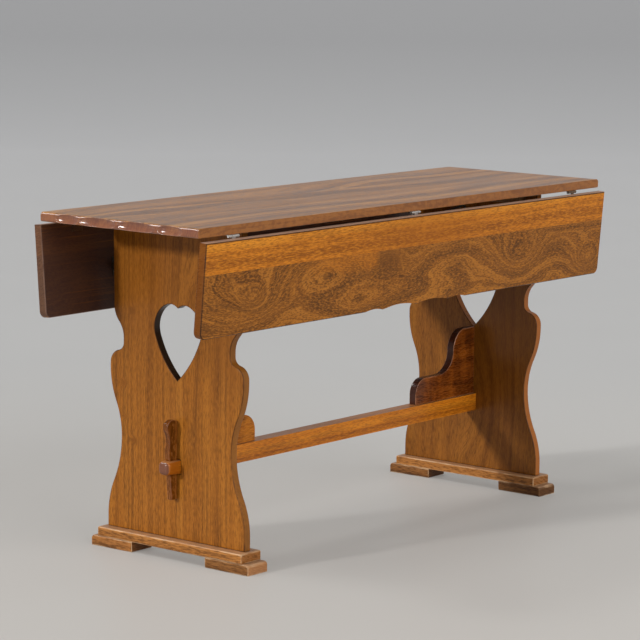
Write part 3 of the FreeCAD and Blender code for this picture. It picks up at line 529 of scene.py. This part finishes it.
# Knots, a pointed arch, painted shade under the top and beside the front leaf, and a darker patch by the
# rear edge in the near panel; the flame of the far one and painted shade on its front half; the stretcher's
# dark tenons
NEAR_KNOTS_AND_SHADE = (
    (0.521, 0.123, 0.011, 0.007, 0.010, 0.85),
    (0.362, 0.149, 0.008, 0.011, 0.009, 0.75),
    (0.290, 0.145, 0.006, 0.008, 0.008, 0.65),
    (0.241, 0.119, 0.008, 0.011, 0.010, 0.9),
    (0.660, -0.060, 0.150, 0.030, 0.022, 0.0),
    # Painted shade beside the front leaf and under the top, then a darker patch by the rear edge
    (0.47, -0.165, 0.11, 0.050, 0.0, 0.50),
    (0.63, 0.0, 0.22, 0.40, 0.0, 0.30),
    (0.52, 0.160, 0.10, 0.060, 0.0, 0.30),
)
# The far panel's flame, then painted shade on the front half of its inner face
FAR_FLAME_AND_SHADE = ((3.20, 2.975, 0.16, 0.075, 0.05, 0.0), (3.42, 2.90, 0.30, 0.11, 0.0, 0.55))
TENON_HILLS = ((0.435, 6.2, 0.024, 0.060, 0.0, 0.95), (1.565, 6.2, 0.024, 0.060, 0.0, 0.95))


def toned(tones, share):
    """The tones of a lighter or darker board."""
    return [[share * item for item in tone] for tone in tones]


def top_finishes():
    """The three boards of the top."""
    finishes = {}
    for name, seed in TOP_SEEDS.items():
        finishes[f"top_board_{name}"] = hardwood(
            f"top_{name}_wood", TOP_TONES, seed=seed, sway=0.085, sway_stretch=(1.3, 3.0, 3.0), wobble=0.005,
            wobble_stretch=(6.0, 30.0, 30.0), bands=30.0, band_spread=0.30, lines=100.0, line_share=0.6,
            fleck_share=0.55, patch_share=0.6, gloss=(0.28, 0.42), shine=0.33, coat=0.42, rim=PINK_HIGHLIGHT_RIM,
            end=((0.18, 0.062, 0.042), 0.75, 0.22), edge=((0.23, 0.066, 0.004), 0.65))
    return finishes


def leaf_finishes(side):
    """A leaf's honey-coloured inner board and figured outer board, both dark at the back."""
    front = side == "front"
    turn = -1 if front else 1
    common = {"axes": ALONG_X_UPRIGHT, "tilt": turn * LEAF_LEAN, "seed": (LEAF_SHIFTS[side], 0.0, 0.0),
              "rim": DARK_RIM if front else DULL_HIGHLIGHT_RIM, "end": (LEAF_END_TONES[side], 0.9, 0.08),
              "edge": ((0.44, 0.28, 0.20), 0.8), "lip": (LEAF_EDGE - LEAF_LIP, 0.75),
              "back": (LEAF_BACK, -turn, DARK_BACK_TONE)}
    honey = hardwood(
        f"{side}_leaf_honey_wood", HONEY_TONES, **common, sway=0.014, bands=34.0, line_share=0.35,
        fleck=(75.0, 380.0), fleck_share=0.52, patch_share=0.5, hills=(HONEY_SHADE,))
    figured = hardwood(
        f"{side}_leaf_figured_wood", FIGURED_TONES, **common, face=0.45, sway=0.036,
        sway_stretch=(3.2, 7.0, 7.0), wobble=0.0042, wobble_stretch=(24.0, 38.0, 38.0), bands=110.0,
        band_spread=0.42, lines=300.0, line_width=0.13, line_share=0.75, pale_lines=(90.0, 0.95),
        fleck=(110.0, 420.0), fleck_share=0.62, hills=LEAF_HILLS if front else (), sap=FIGURED_SAP)
    return {f"{side}_leaf_inner_board": honey, f"{side}_leaf_outer_board": figured}


def trestle_finishes(end):
    """The panel at one end with its brace, wedge, cleat, rail and pads."""
    near = end == "near"
    shift = END_SHIFTS[end]
    finishes = {
        f"{end}_trestle_panel": hardwood(
            f"{end}_panel_wood", toned(PANEL_TONES, PANEL_SHARES[end]), axes=ALONG_Z,
            seed=(shift, shift, 0.0), sway=0.020, lines=130.0, line_share=0.55 if near else 0.25,
            fleck_share=0.42, hills=NEAR_KNOTS_AND_SHADE if near else FAR_FLAME_AND_SHADE, end=(None, 0.2, 0.08),
            rim=PANEL_RIM, edge=(PANEL_EDGE_TONES[end], 0.65)),
        f"{end}_foot_rail": hardwood(
            f"{end}_rail_wood", toned(RAIL_TONES, RAIL_SHARES[end]), axes=ALONG_Y,
            seed=(shift, 1.0, 0.0), sway=0.006, rim=PALE_RIM, fleck=(60.0, 300.0), fleck_share=0.6),
        f"{end}_brace": hardwood(
            f"{end}_brace_wood", toned(STRETCHER_TONES, NEAR_BRACE_SHARE) if near else BRACE_TONES,
            axes=ALONG_X_UPRIGHT, seed=(shift, 2.0, 0.0), sway=0.016, sway_stretch=(8.0, 9.0, 9.0),
            bands=70.0, ribbon=0.35, gloss=(0.22, 0.34), coat=0.15 if near else 0.35, rim=BRACE_RIM,
            edge=(BRACE_EDGE_TONES[end], 0.8)),
        f"{end}_wedge": hardwood(
            f"{end}_wedge_wood", WEDGE_TONES, axes=ALONG_Z, seed=(shift, 3.0, 0.0), sway=0.004,
            gloss=(0.20, 0.34), coat=0.3, rim=WEDGE_RIM),
        f"{end}_top_cleat": hardwood(
            f"{end}_cleat_wood", HIDDEN_TONES, axes=ALONG_Y, seed=(shift, 4.0, 0.0), sway=0.006),
    }
    for side, step in PAD_SHIFTS.items():
        finishes[f"{side}_{end}_foot_pad"] = hardwood(
            f"{side}_{end}_pad_wood", toned(PAD_TONES, PAD_SHARES[f"{side}_{end}"]), axes=ALONG_Y,
            seed=(shift, 5.0, step), sway=0.005, fleck_share=0.55, rim=PALE_RIM, grime=7.0 * MM,
            end=(PAD_END_HIGHLIGHT if near and side == "front" else None, 0.6, 0.08))
    return finishes


def wood_finishes():
    """One finish for each board, with its own grain."""
    finishes = top_finishes()
    for side in LEAF_SHIFTS:
        finishes.update(leaf_finishes(side))
    for end in END_SHIFTS:
        finishes.update(trestle_finishes(end))
    finishes["stretcher"] = hardwood(
        "stretcher_wood", STRETCHER_TONES, axes=ALONG_X_UPRIGHT, seed=(1.0, 6.0, 0.0), sway=0.008,
        hills=TENON_HILLS, shine=0.2, coat=0.2, rim=STRETCHER_RIM, end=((0.13, 0.052, 0.034), 0.9, 0.16),
        edge=((0.32, 0.135, 0.048), 0.75))
    finishes["brace_dowels"] = hardwood("dowel_wood", HIDDEN_TONES, axes=ALONG_Z, sway=0.003)
    return finishes


# Steel finishes

BRIGHT_STEEL = (0.80, 0.79, 0.77)
# Painted shade: a darker hinge steel, partly tarnish, and a dark stay steel for parts that sit in shade
SHADED_TARNISHED_STEEL = (0.24, 0.175, 0.125)
SHADED_STAY_STEEL = (0.075, 0.062, 0.052)
BROWN_STAIN = (0.16, 0.10, 0.065)
ROLLED_STRETCH = (60.0, 900.0, 900.0)
DULL_SHARE = 0.5


def steel(name, tone, roughness):
    """Zinc-plated steel with faint rolling marks, dull spots and brown stains."""
    material, shade, shader = new_material(name)
    place = shade.add("ShaderNodeTexCoord").outputs["Object"]
    rolled = shade.noise(shade.scaled(place, ROLLED_STRETCH))
    spots = shade.noise(place, 160.0, 3.0, 0.6)
    dull = [DULL_SHARE * item for item in tone]
    colour = shade.blend(shade.spread(spots, 0.5, 0.75, 0.0, 0.6), tone, dull)
    stained = shade.noise(place, 45.0, 3.0, 0.6)
    colour = shade.blend(shade.spread(stained, 0.56, 0.72, 0.0, 0.55), colour, BROWN_STAIN)
    shade.feed(shader.inputs["Base Color"], colour)
    shader.inputs["Metallic"].default_value = 1.0
    rough = shade.plus(shade.spread(rolled, 0.3, 0.7, roughness - 0.08, roughness + 0.1),
                       shade.times(stained, 0.12))
    shade.feed(shader.inputs["Roughness"], rough)
    shade.bump(shader, rolled, 0.12, 0.1 * MM)
    return material


FINISHES = wood_finishes()
# The front near and middle hinges keep bright steel; the other hinges take the darker steel, painted shade
# and partly tarnish; the stays take painted shade
BRIGHT_HINGES = ("front_near_hinge", "front_middle_hinge", "front_hinge_pins")
BRIGHT = steel("bright_hinge_steel", BRIGHT_STEEL, 0.30)
STEEL_OF = {"hinge_steel": steel("shaded_tarnished_hinge_steel", SHADED_TARNISHED_STEEL, 0.42),
            "stay_steel": steel("shaded_stay_steel", SHADED_STAY_STEEL, 0.46)}


def steel_of(node):
    """The finish of a steel piece."""
    return BRIGHT if node.startswith(BRIGHT_HINGES) else STEEL_OF[SLOT_OF[node]]


# Pieces with the solids' own shapes and soft arrises

GRAIN_AXIS = {"top_wood": 0, "leaf_light_wood": 0, "leaf_figured_wood": 0, "stretcher_wood": 0,
              "brace_wood": 0, "foot_wood": 1, "trestle_wood": 2, "wedge_wood": 2}
WOOD_ARRIS = {"top_wood": 0.4 * MM, "trestle_wood": 1.8 * MM, "foot_wood": 2.0 * MM,
              "stretcher_wood": 2.0 * MM, "brace_wood": 1.6 * MM, "wedge_wood": 1.4 * MM,
              "hidden_wood": 0.8 * MM}
FACE_MARKS = ("arris", "end_grain", "board_edge", "hollow")
LEAF_SLOTS = ("leaf_light_wood", "leaf_figured_wood")

# Points this near are one, and faces this flat are one
MERGE_REACH = 0.001 * MM
FLAT_FOLD = math.radians(0.05)
SHORTEST_ARRIS = 1.3 * MM
SHARP_FOLD = math.radians(40.0)
SMOOTH_FOLD = math.radians(50.0)

# Glue joints of the top; shoulder, tenon and nose of the stretcher; room around the near heart
TOP_JOINT = 70.0 * MM
JOINT_REACH = 0.8 * MM
SHOULDER = 524.0 * MM
TENON_START = 542.0 * MM
TENON_SIZE = Vector((0.0, 31.0, 30.0)) * MM
TENON_MIDDLE = 200.0 * MM
TENON_ROUND = 10.0 * MM
TENON_CUTS = (0.0, 0.3, 0.57, 0.82)
HEART_LOW = Vector((-1.0, -0.080, 0.375))
HEART_HIGH = Vector((0.0, 0.070, 0.552))

# How far a face's normal points along an axis
SQUARE = 0.95
FACING = 0.7
END_FACING = 0.6
HALFWAY = 0.5
ASIDE = 0.3


def merged_copy(node):
    """The node's loose triangles as closed solids with flat faces."""
    shape = bmesh.new()
    shape.from_mesh(frame["nodes"][node].data)
    bmesh.ops.remove_doubles(shape, verts=shape.verts, dist=MERGE_REACH)
    bmesh.ops.dissolve_limit(shape, angle_limit=FLAT_FOLD, verts=shape.verts, edges=shape.edges)
    return shape


def in_joint(place, slot):
    """Whether a point lies where the top's boards are glued, or where the stretcher is housed or wedged."""
    if slot == "top_wood":
        return abs(abs(place.y) - TOP_JOINT) < JOINT_REACH
    return slot == "stretcher_wood" and abs(place.x) > SHOULDER - JOINT_REACH


def sharp_edges(shape, slot):
    """Long outer arrises that are neither glued nor housed in another piece."""
    return [edge for edge in shape.edges
            if edge.is_manifold and edge.is_convex and edge.calc_face_angle() > SHARP_FOLD
            and edge.calc_length() > SHORTEST_ARRIS
            and not all(in_joint(vert.co, slot) for vert in edge.verts)]


def soften(shape, slot):
    """Round the sharp arrises, leaving screw holes and joints as they are; return the new strips."""
    if slot not in WOOD_ARRIS:
        return []
    made = bmesh.ops.bevel(
        shape, geom=sharp_edges(shape, slot), offset=WOOD_ARRIS[slot], offset_type="OFFSET",
        segments=2, profile=0.5, affect="EDGES", clamp_overlap=False)
    return made["faces"]


def cut_tenons(shape, axis, place):
    """Cut the faces of both tenons where a plane across an axis meets them."""
    plane = Vector((0.0, 0.0, 0.0))
    plane[axis] = place
    normal = Vector((0.0, 0.0, 0.0))
    normal[axis] = 1.0
    faces = [face for face in shape.faces if abs(face.calc_center_median().x) > SHOULDER]
    parts = dict.fromkeys(part for face in faces for part in (*face.verts, *face.edges))
    bmesh.ops.bisect_plane(shape, geom=[*parts, *faces], plane_co=plane, plane_no=normal)


def round_tenons(shape):
    """Round the tenons like pillows where they stand out of the panels."""
    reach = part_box("stretcher")[1][0]
    core = (reach - TENON_ROUND, TENON_SIZE.y / 2 - TENON_ROUND, TENON_SIZE.z / 2 - TENON_ROUND)
    middle = Vector((0.0, 0.0, TENON_MIDDLE))
    for axis in range(3):
        for share in TENON_CUTS:
            for side in (-1.0, 1.0):
                cut_tenons(shape, axis, middle[axis] + side * (core[axis] + share * TENON_ROUND))
    for vert in shape.verts:
        if abs(vert.co.x) > TENON_START:
            inner = middle + Vector([min(max(place, -half), half)
                                     for place, half in zip(vert.co - middle, core)])
            out = vert.co - inner
            if out.length > TENON_ROUND:
                vert.co = inner + out * (TENON_ROUND / out.length)


def hold_inside(shape, node):
    """Keep every point of a piece within its node's box."""
    low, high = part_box(node)
    for vert in shape.verts:
        vert.co = [min(max(place, least), most) for place, least, most in zip(vert.co, low, high)]


def in_heart(face):
    """Whether a face lies inside the heart of the near panel."""
    middle = face.calc_center_median()
    return abs(face.normal.x) < HALFWAY and all(
        low < place < high for low, place, high in zip(HEART_LOW, middle, HEART_HIGH))


def board_normal(face, slot):
    """Direction of a face in its board's own frame: a leaf's is turned upright."""
    if slot not in LEAF_SLOTS:
        return face.normal
    lean = LEAF_LEAN if face.calc_center_median().y > 0.0 else -LEAF_LEAN
    return Matrix.Rotation(lean, 3, "X") @ face.normal


def is_edge(normal, slot):
    """Whether a face is a long or sawn edge, or the upper side of a foot or the stretcher."""
    if slot in LEAF_SLOTS:
        return normal.z > SQUARE
    if slot == "trestle_wood":
        return abs(normal.x) < ASIDE
    if slot == "top_wood":
        return abs(normal.y) > FACING
    if slot == "brace_wood":
        return abs(normal.y) < ASIDE
    return slot in ("foot_wood", "stretcher_wood") and normal.z > FACING


def mark_faces(shape, slot, strips):
    """Mark the arrises for wear and painted highlights, end grain, edges, and the inside of the near heart
    for its painted shade.
    """
    marks = shape.faces.layers.float
    for face in strips:
        face[marks["arris"]] = 1.0
    grain = GRAIN_AXIS.get(slot)
    for face in shape.faces:
        normal = board_normal(face, slot)
        steepest = max(abs(item) for item in normal)
        if slot in LEAF_SLOTS and ASIDE < abs(normal.y) < SQUARE:
            face[marks["arris"]] = 1.0
        if slot == "foot_wood" and steepest < SQUARE:
            face[marks["arris"]] = 1.0
        if grain is not None and abs(normal[grain]) > END_FACING:
            face[marks["end_grain"]] = 1.0
        if is_edge(normal, slot):
            face[marks["board_edge"]] = 1.0
        # The near heart's inner walls take painted shade
        if slot == "trestle_wood" and in_heart(face):
            face[marks["hollow"]] = 1.0


def applied(holder):
    """The holder's mesh with its modifiers applied; the holder goes."""
    depsgraph = bpy.context.evaluated_depsgraph_get()
    mesh = bpy.data.meshes.new_from_object(
        holder.evaluated_get(depsgraph), preserve_all_data_layers=True, depsgraph=depsgraph)
    bpy.data.objects.remove(holder)
    return mesh


def finish(mesh, material, node):
    """Make a mesh the piece that stands for a node, on the node's body."""
    shape = bmesh.new()
    shape.from_mesh(mesh)
    for face in shape.faces:
        face.smooth = True
    for edge in shape.edges:
        edge.smooth = edge.is_manifold and edge.calc_face_angle() < SMOOTH_FOLD
    shape.to_mesh(mesh)
    shape.free()
    holder = bpy.data.objects.new(f"{node}_holder", mesh)
    bpy.context.scene.collection.objects.link(holder)
    holder.modifiers.new("even_shading", "WEIGHTED_NORMAL").keep_sharp = True
    mesh = applied(holder)
    mesh.name = f"{node}_look"
    mesh.materials.clear()
    mesh.materials.append(material)
    piece = bpy.data.objects.new(f"{node}_look", mesh)
    bpy.context.scene.collection.objects.link(piece)
    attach(piece, BODY_OF[node])
    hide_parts(node)


def dress(node):
    """Replace a solid by its copy with rounded arrises, face marks and its finish."""
    slot = SLOT_OF[node]
    shape = merged_copy(node)
    wooden = node in FINISHES
    if wooden:
        for name in FACE_MARKS:
            shape.faces.layers.float.new(name)
        if slot == "stretcher_wood":
            round_tenons(shape)
        strips = soften(shape, slot)
        hold_inside(shape, node)
        shape.normal_update()
        mark_faces(shape, slot, strips)
    bmesh.ops.triangulate(shape, faces=[face for face in shape.faces if len(face.verts) > 4])
    mesh = bpy.data.meshes.new(f"{node}_look")
    shape.to_mesh(mesh)
    shape.free()
    finish(mesh, FINISHES[node] if wooden else steel_of(node), node)


# Screws: one tree sets a slotted countersunk screw at every seat

SHORT_SCREW = 14.0 * MM
LONG_SCREW = 38.0 * MM
SCREW_SETS = {"top_hinge_screws": SHORT_SCREW, "cleat_screws": LONG_SCREW, "pad_screws": LONG_SCREW,
              "front_leaf_hinge_screws": SHORT_SCREW, "rear_leaf_hinge_screws": SHORT_SCREW,
              "front_bracket_screws": SHORT_SCREW, "rear_bracket_screws": SHORT_SCREW}
SCREW_SIZES = {"Head Radius": 3.15 * MM, "Shank Radius": 1.6 * MM, "Head Height": 1.8 * MM,
               "Slot Width": 0.9 * MM, "Slot Depth": 0.8 * MM}
SCREW_SIDES = 20
SPIN_SEED = 7

# Tip length in screw lengths, point radius in shank radii, slot blade length in head radii
TIP_SHARE = 0.25
POINT_SHARE = 0.2
BLADE_SHARE = 2.4

# A drive this close to an axis of the table runs along it
SQUARE_DRIVE = 0.998


def screw_seats(node):
    """Middle of each screw's head face and the direction that it is driven in."""
    shape = merged_copy(node)
    seats = []
    seen = set()
    for first in shape.verts:
        if first in seen:
            continue
        seen.add(first)
        island = [first]
        for vert in island:
            for edge in vert.link_edges:
                other = edge.other_vert(vert)
                if other not in seen:
                    seen.add(other)
                    island.append(other)
        points = numpy.array([vert.co for vert in island])
        middle = points.mean(axis=0)
        axis = numpy.linalg.svd(points - middle)[2][0]
        reach = (points - middle) @ axis
        spread = numpy.linalg.norm(points - middle - numpy.outer(reach, axis), axis=1)
        if reach[spread.argmax()] > 0.0:
            axis = -axis
        if numpy.abs(axis).max() > SQUARE_DRIVE:
            axis = numpy.rint(axis)
        seats.append((Vector(middle + axis * ((points - middle) @ axis).min()), Vector(axis)))
    shape.free()
    return sorted(seats, key=lambda seat: tuple(round(item, 5) for item in seat[0]))


def screw_tree():
    """Geometry tree: head cone, shank, pointed tip and a sawn slot, set on each point along its drive."""
    tree = bpy.data.node_groups.new("wood_screws", "GeometryNodeTree")
    tree.interface.new_socket("Geometry", in_out="INPUT", socket_type="NodeSocketGeometry")
    for name in ("Head Radius", "Shank Radius", "Head Height", "Length", "Slot Width", "Slot Depth"):
        tree.interface.new_socket(name, in_out="INPUT", socket_type="NodeSocketFloat")
    tree.interface.new_socket("Material", in_out="INPUT", socket_type="NodeSocketMaterial")
    tree.interface.new_socket("Geometry", in_out="OUTPUT", socket_type="NodeSocketGeometry")
    net = Shade(tree)
    given = net.add("NodeGroupInput").outputs
    head = net.add("GeometryNodeMeshCone")
    shank = net.add("GeometryNodeMeshCone")
    tip = net.add("GeometryNodeMeshCone")
    tip_length = net.math("MULTIPLY", given["Length"], TIP_SHARE)
    shank_length = net.math("SUBTRACT", given["Length"], tip_length)
    point_radius = net.math("MULTIPLY", given["Shank Radius"], POINT_SHARE)
    for cone, bottom, top, depth in (
            (head, given["Head Radius"], given["Shank Radius"], given["Head Height"]),
            (shank, given["Shank Radius"], given["Shank Radius"],
             net.math("SUBTRACT", shank_length, given["Slot Depth"])),
            (tip, given["Shank Radius"], point_radius, tip_length)):
        cone.inputs["Vertices"].default_value = SCREW_SIDES
        net.feed(cone.inputs["Radius Bottom"], bottom)
        net.feed(cone.inputs["Radius Top"], top)
        net.feed(cone.inputs["Depth"], depth)
    blade = net.add("GeometryNodeMeshCube")
    net.feed(blade.inputs["Size"], net.vector(
        net.math("MULTIPLY", given["Head Radius"], BLADE_SHARE), given["Slot Width"],
        net.math("MULTIPLY", given["Slot Depth"], 2.0)))
    sawn = net.add("GeometryNodeMeshBoolean", operation="DIFFERENCE", solver="EXACT")
    net.feed(sawn.inputs["Mesh 1"], head.outputs["Mesh"])
    net.feed(sawn.inputs["Mesh 2"], blade.outputs["Mesh"])
    join = net.add("GeometryNodeJoinGeometry")
    net.feed(join.inputs[0], sawn.outputs["Mesh"])
    for cone, start in ((shank, given["Slot Depth"]), (tip, shank_length)):
        moved = net.add("GeometryNodeTransform")
        net.feed(moved.inputs["Geometry"], cone.outputs["Mesh"])
        net.feed(moved.inputs["Translation"], net.vector(0.0, 0.0, start))
        net.feed(join.inputs[0], moved.outputs["Geometry"])
    drive = net.add("GeometryNodeInputNamedAttribute", data_type="FLOAT_VECTOR")
    drive.inputs["Name"].default_value = "drive"
    aligned = net.add("FunctionNodeAlignRotationToVector", axis="Z")
    net.feed(aligned.inputs["Vector"], drive.outputs["Attribute"])
    spin = net.add("FunctionNodeRandomValue", data_type="FLOAT")
    spin.inputs["Seed"].default_value = SPIN_SEED
    turned = net.add("FunctionNodeRotateRotation", rotation_space="LOCAL")
    net.feed(turned.inputs["Rotation"], aligned.outputs["Rotation"])
    half_turn = net.math("MULTIPLY", spin.outputs[1], math.pi)
    net.feed(turned.inputs["Rotate By"], net.vector(0.0, 0.0, half_turn))
    place = net.add("GeometryNodeInstanceOnPoints")
    net.feed(place.inputs["Points"], given["Geometry"])
    net.feed(place.inputs["Instance"], join.outputs[0])
    net.feed(place.inputs["Rotation"], turned.outputs["Rotation"])
    real = net.add("GeometryNodeRealizeInstances")
    net.feed(real.inputs["Geometry"], place.outputs["Instances"])
    coated = net.add("GeometryNodeSetMaterial")
    net.feed(coated.inputs["Geometry"], real.outputs["Geometry"])
    net.feed(coated.inputs["Material"], given["Material"])
    result = net.add("NodeGroupOutput")
    net.feed(result.inputs[0], coated.outputs["Geometry"])
    return tree


def set_screws(node, length, tree):
    """One mesh with all the screws of a node."""
    seats = screw_seats(node)
    points = bpy.data.meshes.new(f"{node}_seats")
    points.from_pydata([seat for seat, drive in seats], [], [])
    drives = points.attributes.new("drive", "FLOAT_VECTOR", "POINT")
    for item, (seat, drive) in zip(drives.data, seats):
        item.vector = drive
    holder = bpy.data.objects.new(f"{node}_holder", points)
    bpy.context.scene.collection.objects.link(holder)
    modifier = holder.modifiers.new("screws", "NODES")
    modifier.node_group = tree
    material = steel_of(node)
    sizes = {**SCREW_SIZES, "Length": length, "Material": material}
    for socket in tree.interface.items_tree:
        if socket.in_out == "INPUT" and socket.name in sizes:
            modifier[socket.identifier] = sizes[socket.name]
    finish(applied(holder), material, node)


# Camera at the photograph's viewpoint

VIEW_PLACE = Vector((-4.9612, -3.9362, 1.3988))
VIEW_YAW = math.radians(51.24)
VIEW_PITCH = math.radians(8.48)
VIEW_ROLL = math.radians(0.71)
VIEW_REACH = 200.0
FOCAL_PIXELS = 2836.2
IMAGE_PIXELS = 640
SENSOR = 36.0


def aim_camera():
    """Set the camera where the photograph was taken."""
    ahead = Vector((math.sin(VIEW_YAW) * math.cos(VIEW_PITCH), math.cos(VIEW_YAW) * math.cos(VIEW_PITCH),
                    -math.sin(VIEW_PITCH)))
    level = Vector((math.cos(VIEW_YAW), -math.sin(VIEW_YAW), 0.0))
    upright = level.cross(ahead)
    right = math.cos(VIEW_ROLL) * level + math.sin(VIEW_ROLL) * upright
    up = math.cos(VIEW_ROLL) * upright - math.sin(VIEW_ROLL) * level
    lens = bpy.data.cameras.new("photo_view")
    lens.sensor_width = SENSOR
    lens.lens = FOCAL_PIXELS / IMAGE_PIXELS * SENSOR
    lens.clip_end = VIEW_REACH
    camera = bpy.data.objects.new("photo_view", lens)
    turned = Matrix((right, up, -ahead)).transposed().to_4x4()
    turned.translation = VIEW_PLACE
    camera.matrix_world = turned
    bpy.context.scene.collection.objects.link(camera)
    bpy.context.scene.camera = camera


# Studio

# Colours of the sweep between two distances past the table's middle, darker far away as painted shade of the
# light's falloff, and its share of even glow
SWEEP_GLOW = 0.38
SWEEP_NEAR = -1.0
SWEEP_FAR = 12.0
SWEEP_FALLOFF_TONES = ((0.0, (0.51, 0.487, 0.458)), (0.12, (0.485, 0.470, 0.447)), (0.24, (0.460, 0.456, 0.447)),
               (0.78, (0.425, 0.425, 0.428)), (0.94, (0.290, 0.290, 0.294)))
SWEEP_CLOUD = ((0.3, 0.3, 0.3), 0.03)
SWEEP_ROUGHNESS = 0.42
SWEEP_SHINE = 0.25


def sweep():
    """Pale floor that curves up into a wall far behind the table, its colour painted darker far away as
    shade.
    """
    half_width = 40.0
    floor_near = -14.0
    wall_start = 9.0
    bend = 5.0
    wall_top = 14.0
    steps = 24
    profile = [(floor_near, 0.0), (wall_start, 0.0)]
    for step in range(1, steps + 1):
        angle = math.pi / 2 * step / steps
        profile.append((wall_start + bend * math.sin(angle), bend * (1.0 - math.cos(angle))))
    profile.append((wall_start + bend, wall_top))
    turn = Matrix.Rotation(-VIEW_YAW, 4, "Z")
    shape = bmesh.new()
    rows = [[shape.verts.new(turn @ Vector((side * half_width, reach, height))) for side in (-1, 1)]
            for reach, height in profile]
    for low, high in zip(rows, rows[1:]):
        shape.faces.new((low[0], low[1], high[1], high[0]))
    mesh = bpy.data.meshes.new("studio_sweep")
    shape.to_mesh(mesh)
    shape.free()
    mesh.shade_smooth()
    floor = bpy.data.objects.new("studio_sweep", mesh)
    bpy.context.scene.collection.objects.link(floor)
    material, shade, shader = new_material("sweep_paper")
    place = shade.add("ShaderNodeTexCoord").outputs["Object"]
    cloud = shade.noise(place, 1.5)
    along = shade.add("ShaderNodeVectorMath", operation="DOT_PRODUCT")
    shade.feed(along.inputs[0], place)
    along.inputs[1].default_value = (math.sin(VIEW_YAW), math.cos(VIEW_YAW), 0.0)
    reach = shade.math("DIVIDE", shade.plus(along.outputs["Value"], -SWEEP_NEAR), SWEEP_FAR - SWEEP_NEAR)
    colour = shade.ramp(reach, SWEEP_FALLOFF_TONES)
    cloud_tone, cloud_share = SWEEP_CLOUD
    colour = shade.blend(shade.spread(cloud, 0.3, 0.7, 0.0, cloud_share), colour, cloud_tone)
    shade.feed(shader.inputs["Base Color"], colour)
    shader.inputs["Roughness"].default_value = SWEEP_ROUGHNESS
    shader.inputs["Specular IOR Level"].default_value = SWEEP_SHINE
    path = shade.add("ShaderNodeLightPath").outputs
    seen = shade.plus(path["Is Camera Ray"], path["Is Glossy Ray"], path["Is Transmission Ray"])
    glow = shade.add("ShaderNodeEmission")
    shade.feed(glow.inputs["Color"], colour)
    mixed = shade.add("ShaderNodeMixShader")
    shade.feed(mixed.inputs[0], shade.times(seen, SWEEP_GLOW))
    shade.feed(mixed.inputs[1], shader.outputs[0])
    shade.feed(mixed.inputs[2], glow.outputs[0])
    shade.feed(material.node_tree.nodes["Material Output"].inputs[0], mixed.outputs[0])
    mesh.materials.append(material)


WORLD_LEVEL = 0.36

# Softboxes: azimuth, height and softness in degrees, then level
SOFTBOXES = {
    "ceiling_softbox": (0.0, 90.0, 120.0, 0.10),
    "low_left_softbox": (17.0, 19.0, 6.0, 0.62),
    "high_left_softbox": (34.0, 60.0, 18.0, 0.16),
    "rear_left_softbox": (67.0, 45.0, 11.0, 0.18),
    "front_softbox": (-88.0, 24.0, 50.0, 0.55),
}


def soft_light(name, azimuth, height, softness, level):
    """Even soft light from a far softbox: azimuth from -X towards +Y, height above the floor, in degrees."""
    light = bpy.data.lights.new(name, "SUN")
    light.energy = level * math.pi
    light.angle = math.radians(softness)
    lamp = bpy.data.objects.new(name, light)
    turn = math.radians(azimuth)
    rise = math.radians(height)
    towards = Vector((-math.cos(rise) * math.cos(turn), math.cos(rise) * math.sin(turn), math.sin(rise)))
    lamp.rotation_euler = towards.to_track_quat("Z", "Y").to_euler()
    bpy.context.scene.collection.objects.link(lamp)


def light_studio():
    """White surroundings and the softboxes."""
    world = bpy.data.worlds.new("studio")
    world.use_nodes = True
    bpy.context.scene.world = world
    background = world.node_tree.nodes["Background"]
    background.inputs["Color"].default_value = (1.0, 1.0, 1.0, 1.0)
    background.inputs["Strength"].default_value = WORLD_LEVEL
    for name, settings in SOFTBOXES.items():
        soft_light(name, *settings)


for node in frame["nodes"]:
    if node not in SCREW_SETS:
        dress(node)
screws = screw_tree()
for node, length in SCREW_SETS.items():
    set_screws(node, length, screws)
sweep()
aim_camera()
light_studio()
bpy.context.scene.view_settings.view_transform = "Standard"
